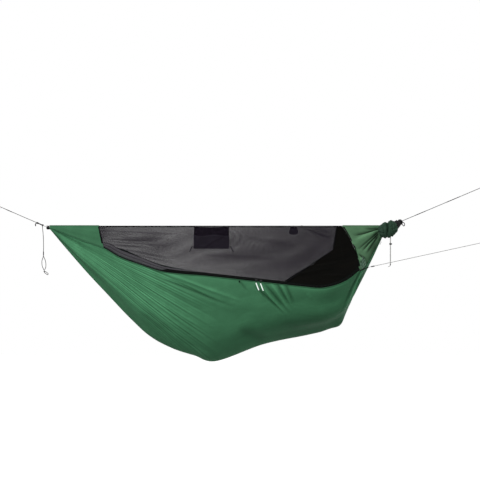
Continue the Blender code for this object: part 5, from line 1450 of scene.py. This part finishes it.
# Rings of the mouth: how far along it, their radius and how much they ruffle.
MOUTH_RINGS = [
    (1.0, 0.034, 0.03), (0.8, 0.0325, 0.05), (0.6, 0.0300, 0.08), (0.42, 0.0255, 0.1),
    (0.28, 0.0205, 0.12), (0.18, 0.0170, 0.1), (0.13, 0.0160, 0.1), (0.08, 0.0175, 0.14),
    (0.02, 0.0200, 0.2), (-0.04, 0.0205, 0.24), (-0.02, 0.0180, 0.24), (0.06, 0.0090, 0.3),
    (0.10, 0.003, 0.0),
]
SACK_CLOTH = cloth_finish(
    "sack_ripstop", (0.0255, 0.058, 0.036), (0.0155, 0.038, 0.023),
    grid=0.005, wrinkle=0.005, scale=32.0, stretch=1.0, line_light=0.1, gloss=0.08,
)
MOUTH_CLOTH = cloth_finish(
    "sack_mouth_cloth", (0.0062, 0.0064, 0.0068), (0.0034, 0.0036, 0.004),
    grid=0.004, wrinkle=0.004, scale=40.0, stretch=1.0, line_light=0.08, gloss=0.08,
)
draw = unit(MOUTH_START - MOUTH_END)
first = unit(np.cross(draw, (0.0, 0.0, 1.0)))
second = np.cross(draw, first)


def closed_skin(name, rows, finish):
    """A closed bag through rings of points, its first and last ring drawn together to a point."""
    rings, columns = rows.shape[:2]
    points = np.concatenate([rows.reshape(-1, 3), [rows[0].mean(0), rows[-1].mean(0)]])
    width = np.linalg.norm(np.diff(rows, axis=1), axis=2).sum(1).mean()
    heights = reaches(np.linalg.norm(np.diff(rows, axis=0), axis=2).mean(1))
    faces, texture = tube_faces(columns, width, heights)
    for ring, tip, order in ((0, rings * columns, -1), (rings - 1, rings * columns + 1, 1)):
        for j in range(columns):
            pair = (ring * columns + j, ring * columns + (j + 1) % columns)
            faces.append((*pair[::order], tip))
            texture += [(width * j / columns, heights[ring])] * 3
    return build_piece(name, points, faces, texture, finish, wrapped=True)


polar = np.linspace(0.02, math.pi - 0.02, 90)[:, None]
around = np.linspace(0, math.tau, 170, endpoint=False)
circle = first * np.cos(around)[:, None] + second * np.sin(around)[:, None]
aim = draw * np.cos(polar)[..., None] + circle * np.sin(polar)[..., None]
size = 1 / np.linalg.norm(aim / SACK_HALF, axis=-1)
drawn = np.sin(polar) ** 1.5 * (0.45 + 0.55 * np.cos(polar / 2) ** 2)
pleats = (
    0.055 * (ridged(4.5 * around + 0.6 * np.sin(2.5 * polar)) - 0.6)
    + 0.028 * np.sin(14 * around + 2.2 * np.sin(3 * polar))
    + 0.012 * np.sin(31 * around + 5 * polar)
)
lumps = 0.02 * np.sin(3 * around + 4 * polar) * np.sin(2.4 * polar + 1)
plane = aim * (size * (1 + pleats * drawn + lumps * np.sin(polar)))[..., None]
front = np.where(plane[..., 1] < 0.012, line_folds(plane, SACK_CREASES[1:]), 0)
creases = line_folds(plane, SACK_CREASES[:1]) + front
bag_rows = SACK_MIDDLE + plane + aim * creases[..., None]
bag_rows[..., 2] += 0.008 * np.tanh(plane[..., 0] / 0.02)
bag = closed_skin("stuff_sack_bag", bag_rows, SACK_CLOTH)
mouth_length = np.linalg.norm(MOUTH_START - MOUTH_END)
mouth_rows = []
for share, radius, ruffle in MOUTH_RINGS:
    waves = ruffle * (ridged(5.5 * around + 3 * share) - 0.6) + 0.4 * ruffle * np.sin(17 * around)
    mouth_rows.append(MOUTH_START - draw * mouth_length * share + circle * (radius * (1 + waves))[:, None])
mouth_rows = np.array(mouth_rows)
fine = np.stack([smooth_route(mouth_rows[:, j], 40) for j in range(len(around))], axis=1)
mouth = closed_skin("stuff_sack_mouth", fine, MOUTH_CLOTH)
waist = MOUTH_START - draw * mouth_length * 0.15
waist_wraps = winding(waist, -draw, first, MOUTH_TIE_RADIUS, MOUTH_TIE_LENGTH, 2, 28)
mouth_tie = lay_tipped("stuff_sack_mouth_tie", waist_wraps, MOUTH_TIE_CORD)

# The sack's hitch: a short free end, two turns round the line, and a hook down to the mouth.
HITCH_CORD, HITCH_PITCH = 0.0032, 0.0070
HOOK = ((0.124, -0.012, 0.03), (0.134, -0.022, 0.024), (0.138, -0.034, 0.012), (0.131, -0.045, 0.0))
SPIKE = ((0.017, 0.012), (0.008, 0.006), (0, 0))
HITCH_TURN = math.pi * 0.1
HOOK_TURN = math.radians(50)
hitch_radius = (LINE_RADIUS + LOOSE) / 0.96 + HITCH_CORD
hitch_first = right_upper * math.cos(HITCH_TURN) + FORWARD * math.sin(HITCH_TURN)
hitch_spot = RIGHT_FOOT + right_away * 0.104
sack_wraps = winding(hitch_spot, right_away, hitch_first, hitch_radius, 2 * HITCH_PITCH, 2, 24)
spike_knots = [sack_wraps[0] + right_upper * up - right_away * back for up, back in SPIKE]
spike = smooth_route(spike_knots, 12)[:-1]
side_way = unit(right_away + draw * -right_away.dot(draw))
low_way = np.cross(draw, side_way)
low_way = low_way if low_way[2] < 0 else -low_way
reach_way = side_way * math.cos(HOOK_TURN) + low_way * math.sin(HOOK_TURN)
hook_knots = [sack_wraps[-1], *(SACK_BASE + point for point in HOOK)]
hook_knots += [waist + draw * 0.002 + reach_way * r for r in (0.026, 0.0185)]
hitch_route = [*spike, *sack_wraps, *smooth_route(hook_knots, 60)[1:]]
sack_hitch = lay_tipped("stuff_sack_hitch", hitch_route, HITCH_CORD, sides=8)

DRAWCORD_RADIUS, DRAWCORD_SPREAD, DRAWCORD_DROP = 0.001, 0.0022, 0.202
SACK_KNOT, SACK_KNOT_CORD = 0.0048, 0.0016
# How many times thicker the strands are drawn.
DRAWCORD_SWELL = 1.7
# How far down the strands, and how far apart there.
DRAWCORD_KNOTS = ((0.1, 1), (0.3, 1), (0.5, 1), (0.7, 1), (0.8, 1), (0.9, 1), (0.96, 1.5))
DRAWCORD = cord_finish("drawcord_braid", (0.33, 0.325, 0.31), (0.16, 0.16, 0.155), 0.42, 0.003)
drawcord_top = SACK_MIDDLE + (0.0185, 0, -SACK_HALF[2] * 0.9)
knot_drop = DRAWCORD_DROP + DRAWCORD_SPREAD + DRAWCORD_RADIUS + LOOSE + 0.004
sack_knot_middle = drawcord_top + DOWN * knot_drop
sack_knot = knotted("stuff_sack_cord_knot", sack_knot_middle, SACK_KNOT, SACK_KNOT_CORD)
cord_tips = []
for word, sign in (("left", -1), ("right", 1)):
    spread = sign * DRAWCORD_SPREAD
    knots = [drawcord_top + (spread, 0, 0.004)]
    knots += [drawcord_top + (spread * width, 0, -DRAWCORD_DROP * share) for share, width in DRAWCORD_KNOTS]
    knots.append(sack_knot_middle + (sign * 0.0012, 0, 0.003))
    path, radii = tipped(smooth_route(knots, 90), DRAWCORD_RADIUS)
    strand = lay_cord(f"stuff_sack_drawcord_{word}", path, radii * DRAWCORD_SWELL, DRAWCORD, sides=8)
    bends = ((sign * 0.001, -0.002), (-0.004 + sign * 0.002, -0.010), (-0.016 + sign * 0.0015, -0.016))
    tip_route = smooth_route([sack_knot_middle + (x, 0, z) for x, z in bends], 12)
    name = f"stuff_sack_cord_tip_{word}"
    cord_tips.append(lay_tipped(name, tip_route, DRAWCORD_RADIUS * 1.4, DRAWCORD, 8))
    assign(strand, "stuff_sack", "pale_cord", "sack_drawcord")
assign_all(
    "stuff_sack",
    (bag, "sack_fabric", "sack_bag"),
    (mouth, "black_fabric", "sack_mouth"),
    (mouth_tie, "black_cord"),
    (sack_hitch, "black_cord", "sack_hitch"),
    (sack_knot, "black_cord", "sack_cord_knot"),
    (cord_tips[0], "black_cord"),
    (cord_tips[1], "black_cord"),
)
for node in ("cord_lock", "cord_lock_button"):
    dress_node(node, BLACK_PLASTIC)

# Side guyline. A black cord loop is sewn to the tie-out corner of the hem. A thin pale guyline is
# knotted to it and runs out to the side through a black tensioner, and ends in a loop for a peg.
# A small crumpled patch lies at the corner, on the right hood.
GUY_RADIUS, GUY_DRAWN, GUY_KNOT = 0.001, 0.0016, 0.0045
GUY_VECTOR = np.array((0.85, -0.27, 0.194))
TIE_LOOP_LENGTH, TIE_LOOP_RADIUS, TIE_LOOP_HALF = 0.06, 0.0013, 0.0024
PEG_LOOP_LENGTH, PEG_LOOP_HALF = 0.034, 0.008
GUY_WHIP_LENGTH, GUY_WHIP_RADIUS, GUY_WHIP_CORD = 0.012, 0.0019, 0.0009
PATCH_CLOTH = cloth_finish(
    "tie_out_patch_cloth", (0.075, 0.125, 0.088), (0.040, 0.078, 0.052),
    wrinkle=0.006, scale=60.0, gloss=0.1, crease=0.7,
)
guy_away = unit(GUY_VECTOR)
corner = RIDGE_START + near_edge(15.0)
seat = corner + FORWARD * (HEM_RADIUS + TIE_LOOP_RADIUS + LOOSE + 0.0008)
flat = unit(np.cross(guy_away, (0, 1.0, 0)))
back = unit(near_edge(14.0) - near_edge(15.0))
loop_end = seat + guy_away * 0.012
loop_start = seat + back * (TIE_LOOP_LENGTH - 0.012) + FORWARD * 0.004
radius = TIE_LOOP_RADIUS + 0.0006
tie_loop = lay_loop("tie_out_cord_loop", loop_start, loop_end, flat, TIE_LOOP_HALF, radius, BLACK_CORD)
guy_knot_middle = loop_end + guy_away * (TIE_LOOP_HALF + TIE_LOOP_RADIUS + GUY_KNOT)
guy_knot = knotted("guyline_start_knot", guy_knot_middle, GUY_KNOT + 0.0012, 0.0026)
guy_start = guy_knot_middle + guy_away * (GUY_KNOT + LOOSE)
guy_length = float(np.linalg.norm(GUY_VECTOR))
guy_path = guy_start + guy_away * np.linspace(-0.003, guy_length + 0.001, 60)[:, None]
guyline = lay_cord("guyline_cord", guy_path, GUY_DRAWN, PALE_CORD, sides=8)
peg_start = guy_start + guy_away * (guy_length + LOOSE + PEG_LOOP_HALF + GUY_RADIUS)
peg_end = peg_start + guy_away * PEG_LOOP_LENGTH
peg_loop = lay_loop("guyline_peg_loop", peg_start, peg_end, flat, PEG_LOOP_HALF, GUY_DRAWN, PALE_CORD)
whip_start = guy_start + guy_away * (guy_length - GUY_WHIP_LENGTH)
peg_wraps = winding(whip_start, guy_away, flat, GUY_WHIP_RADIUS, GUY_WHIP_LENGTH, 6, 14)
peg_whipping = lay_tipped("guyline_loop_whipping", peg_wraps, GUY_WHIP_CORD)
u, v = np.broadcast_arrays(np.linspace(0, 1, 36)[:, None], np.linspace(0, 1, 28))
patch_grid = band_grid(-1, 14.25 + 0.95 * u, 0.010 + 0.058 * v)
crumples = 0.0050 * np.sin(15 * u + 9 * v) * np.sin(13 * v - 5 * u) + 0.0020 * np.sin(27 * u - 19 * v)
patch_grid[..., 1] -= 0.0082 + crumples
# The crumples are also painted: shade in their hollows and light on their crests.
shades = {"shade": np.clip(crumples / 0.004, -1, 1)}
patch = cloth_piece("tie_out_patch", patch_grid + RIDGE_START, PATCH_CLOTH, TAPE_WALL, shades)
assign_all(
    "hammock",
    (patch, "hood_fabric"),
    (tie_loop, "black_cord", "tie_out_loop"),
    (guy_knot, "black_cord", "guyline_knot"),
    (guyline, "pale_cord", "guyline"),
    (peg_loop, "pale_cord", "guyline_end_loop"),
    (peg_whipping, "black_cord"),
)
dress_node("guyline_tensioner", BLACK_PLASTIC)

# Trims. A cord loop with a bead hangs from the right hem, a cord toggle lies on the right hood, and
# a folded webbing tab is sewn under the zip.
HEM_LOOP_LENGTH, HEM_LOOP_HALF, HEM_LOOP_RADIUS = 0.016, 0.0025, 0.001
BEAD_RADIUS, BEAD_HOLE, BEAD_TUBE = 0.004, 0.0023, 0.0017
TOGGLE_LENGTH, TOGGLE_RADIUS, TOGGLE_CORD = 0.0156, 0.0012, 0.0011
# The webbing tab's fold, along its hang and outwards.
TAB_FOLD = (
    (-0.006, 0.0006), (0.0, 0.0007), (0.0045, 0.0008), (0.006, 0.0),
    (0.0045, -0.0008), (0.0, -0.0007), (-0.006, -0.0006),
)


def forward(way):
    """The way or its opposite, whichever points to the front."""
    return -way if way[1] > 0 else way


hem_spot = near_edge(16.9)
hang = unit(body_grid(16.9, -0.7)[0] - hem_spot)
out = forward(unit(np.cross(hang, hem_direction(-1, 16.9))))
across = np.cross(hang, out)
start = RIDGE_START + hem_spot + out * (HEM_RADIUS + 0.006 + LOOSE)
end = start + hang * HEM_LOOP_LENGTH
hem_loop = lay_loop("hem_cord_loop", start, end, across, HEM_LOOP_HALF, HEM_LOOP_RADIUS, BLACK_CORD)
bead_drop = HEM_LOOP_LENGTH + HEM_LOOP_HALF + HEM_LOOP_RADIUS + BEAD_RADIUS
bead = new_shape(
    bpy.ops.mesh.primitive_torus_add,
    major_segments=28, minor_segments=14, major_radius=BEAD_HOLE, minor_radius=BEAD_TUBE,
)
bpy.ops.object.shade_smooth()
bead.data.materials.append(BLACK_PLASTIC)
bead = settle(bead, "hem_cord_bead", (across, hang, out), start + hang * bead_drop + out * 0.0016)

toggle_spot, beside, ahead = (roof_grid(-1, a, b) for a, b in ((14.25, 0.5), (14.25, 0.6), (14.45, 0.5)))
out = forward(unit(np.cross(ahead - toggle_spot, beside - toggle_spot)))
along = unit(beside - toggle_spot)
toggle_start = RIDGE_START + toggle_spot + out * 0.008 - along * TOGGLE_LENGTH / 2
toggle_route = winding(toggle_start, along, out, TOGGLE_RADIUS, TOGGLE_LENGTH, 7, 16)
toggle = lay_tipped("hood_cord_toggle", toggle_route, TOGGLE_CORD)

tab_spot = near_edge(9.7)
hang = unit(body_grid(9.7, -0.9)[0] - tab_spot)
along = hem_direction(-1, 9.7)
across = unit(along - hang * hang.dot(along))
out = forward(np.cross(across, hang))
middle = RIDGE_START + tab_spot + hang * (HEM_RADIUS + RIM_GAP + 0.006) + out * (0.003 + 0.0012 + 3 * LOOSE)
fold_route = smooth_route([middle + hang * a + out * b for a, b in TAB_FOLD], 30)
tab_grid = np.stack([fold_route + across * w for w in (-0.004, -0.0013, 0.0013, 0.004)], axis=1)
tab = cloth_piece("zip_webbing_tab", tab_grid, BLACK_TAPE, TAPE_WALL, inner=middle)
assign_all(
    "hammock",
    (hem_loop, "black_cord", "hem_loop"),
    (bead, "black_plastic", "hem_bead"),
    (toggle, "black_cord", "hood_toggle"),
    (tab, "black_cord", "zip_tab"),
)

# Buckles. Tumbled alloy plates with a rope bar and a strap slot, one for each tree strap.
ALLOY = hard_finish(
    "tumbled_alloy", (0.50, 0.51, 0.52), (0.33, 0.34, 0.35), 0.4,
    metallic=1.0, scale=420.0, wear=0.46, depth=0.00015,
)
for node in ("left_buckle", "right_buckle"):
    dress_node(node, ALLOY)
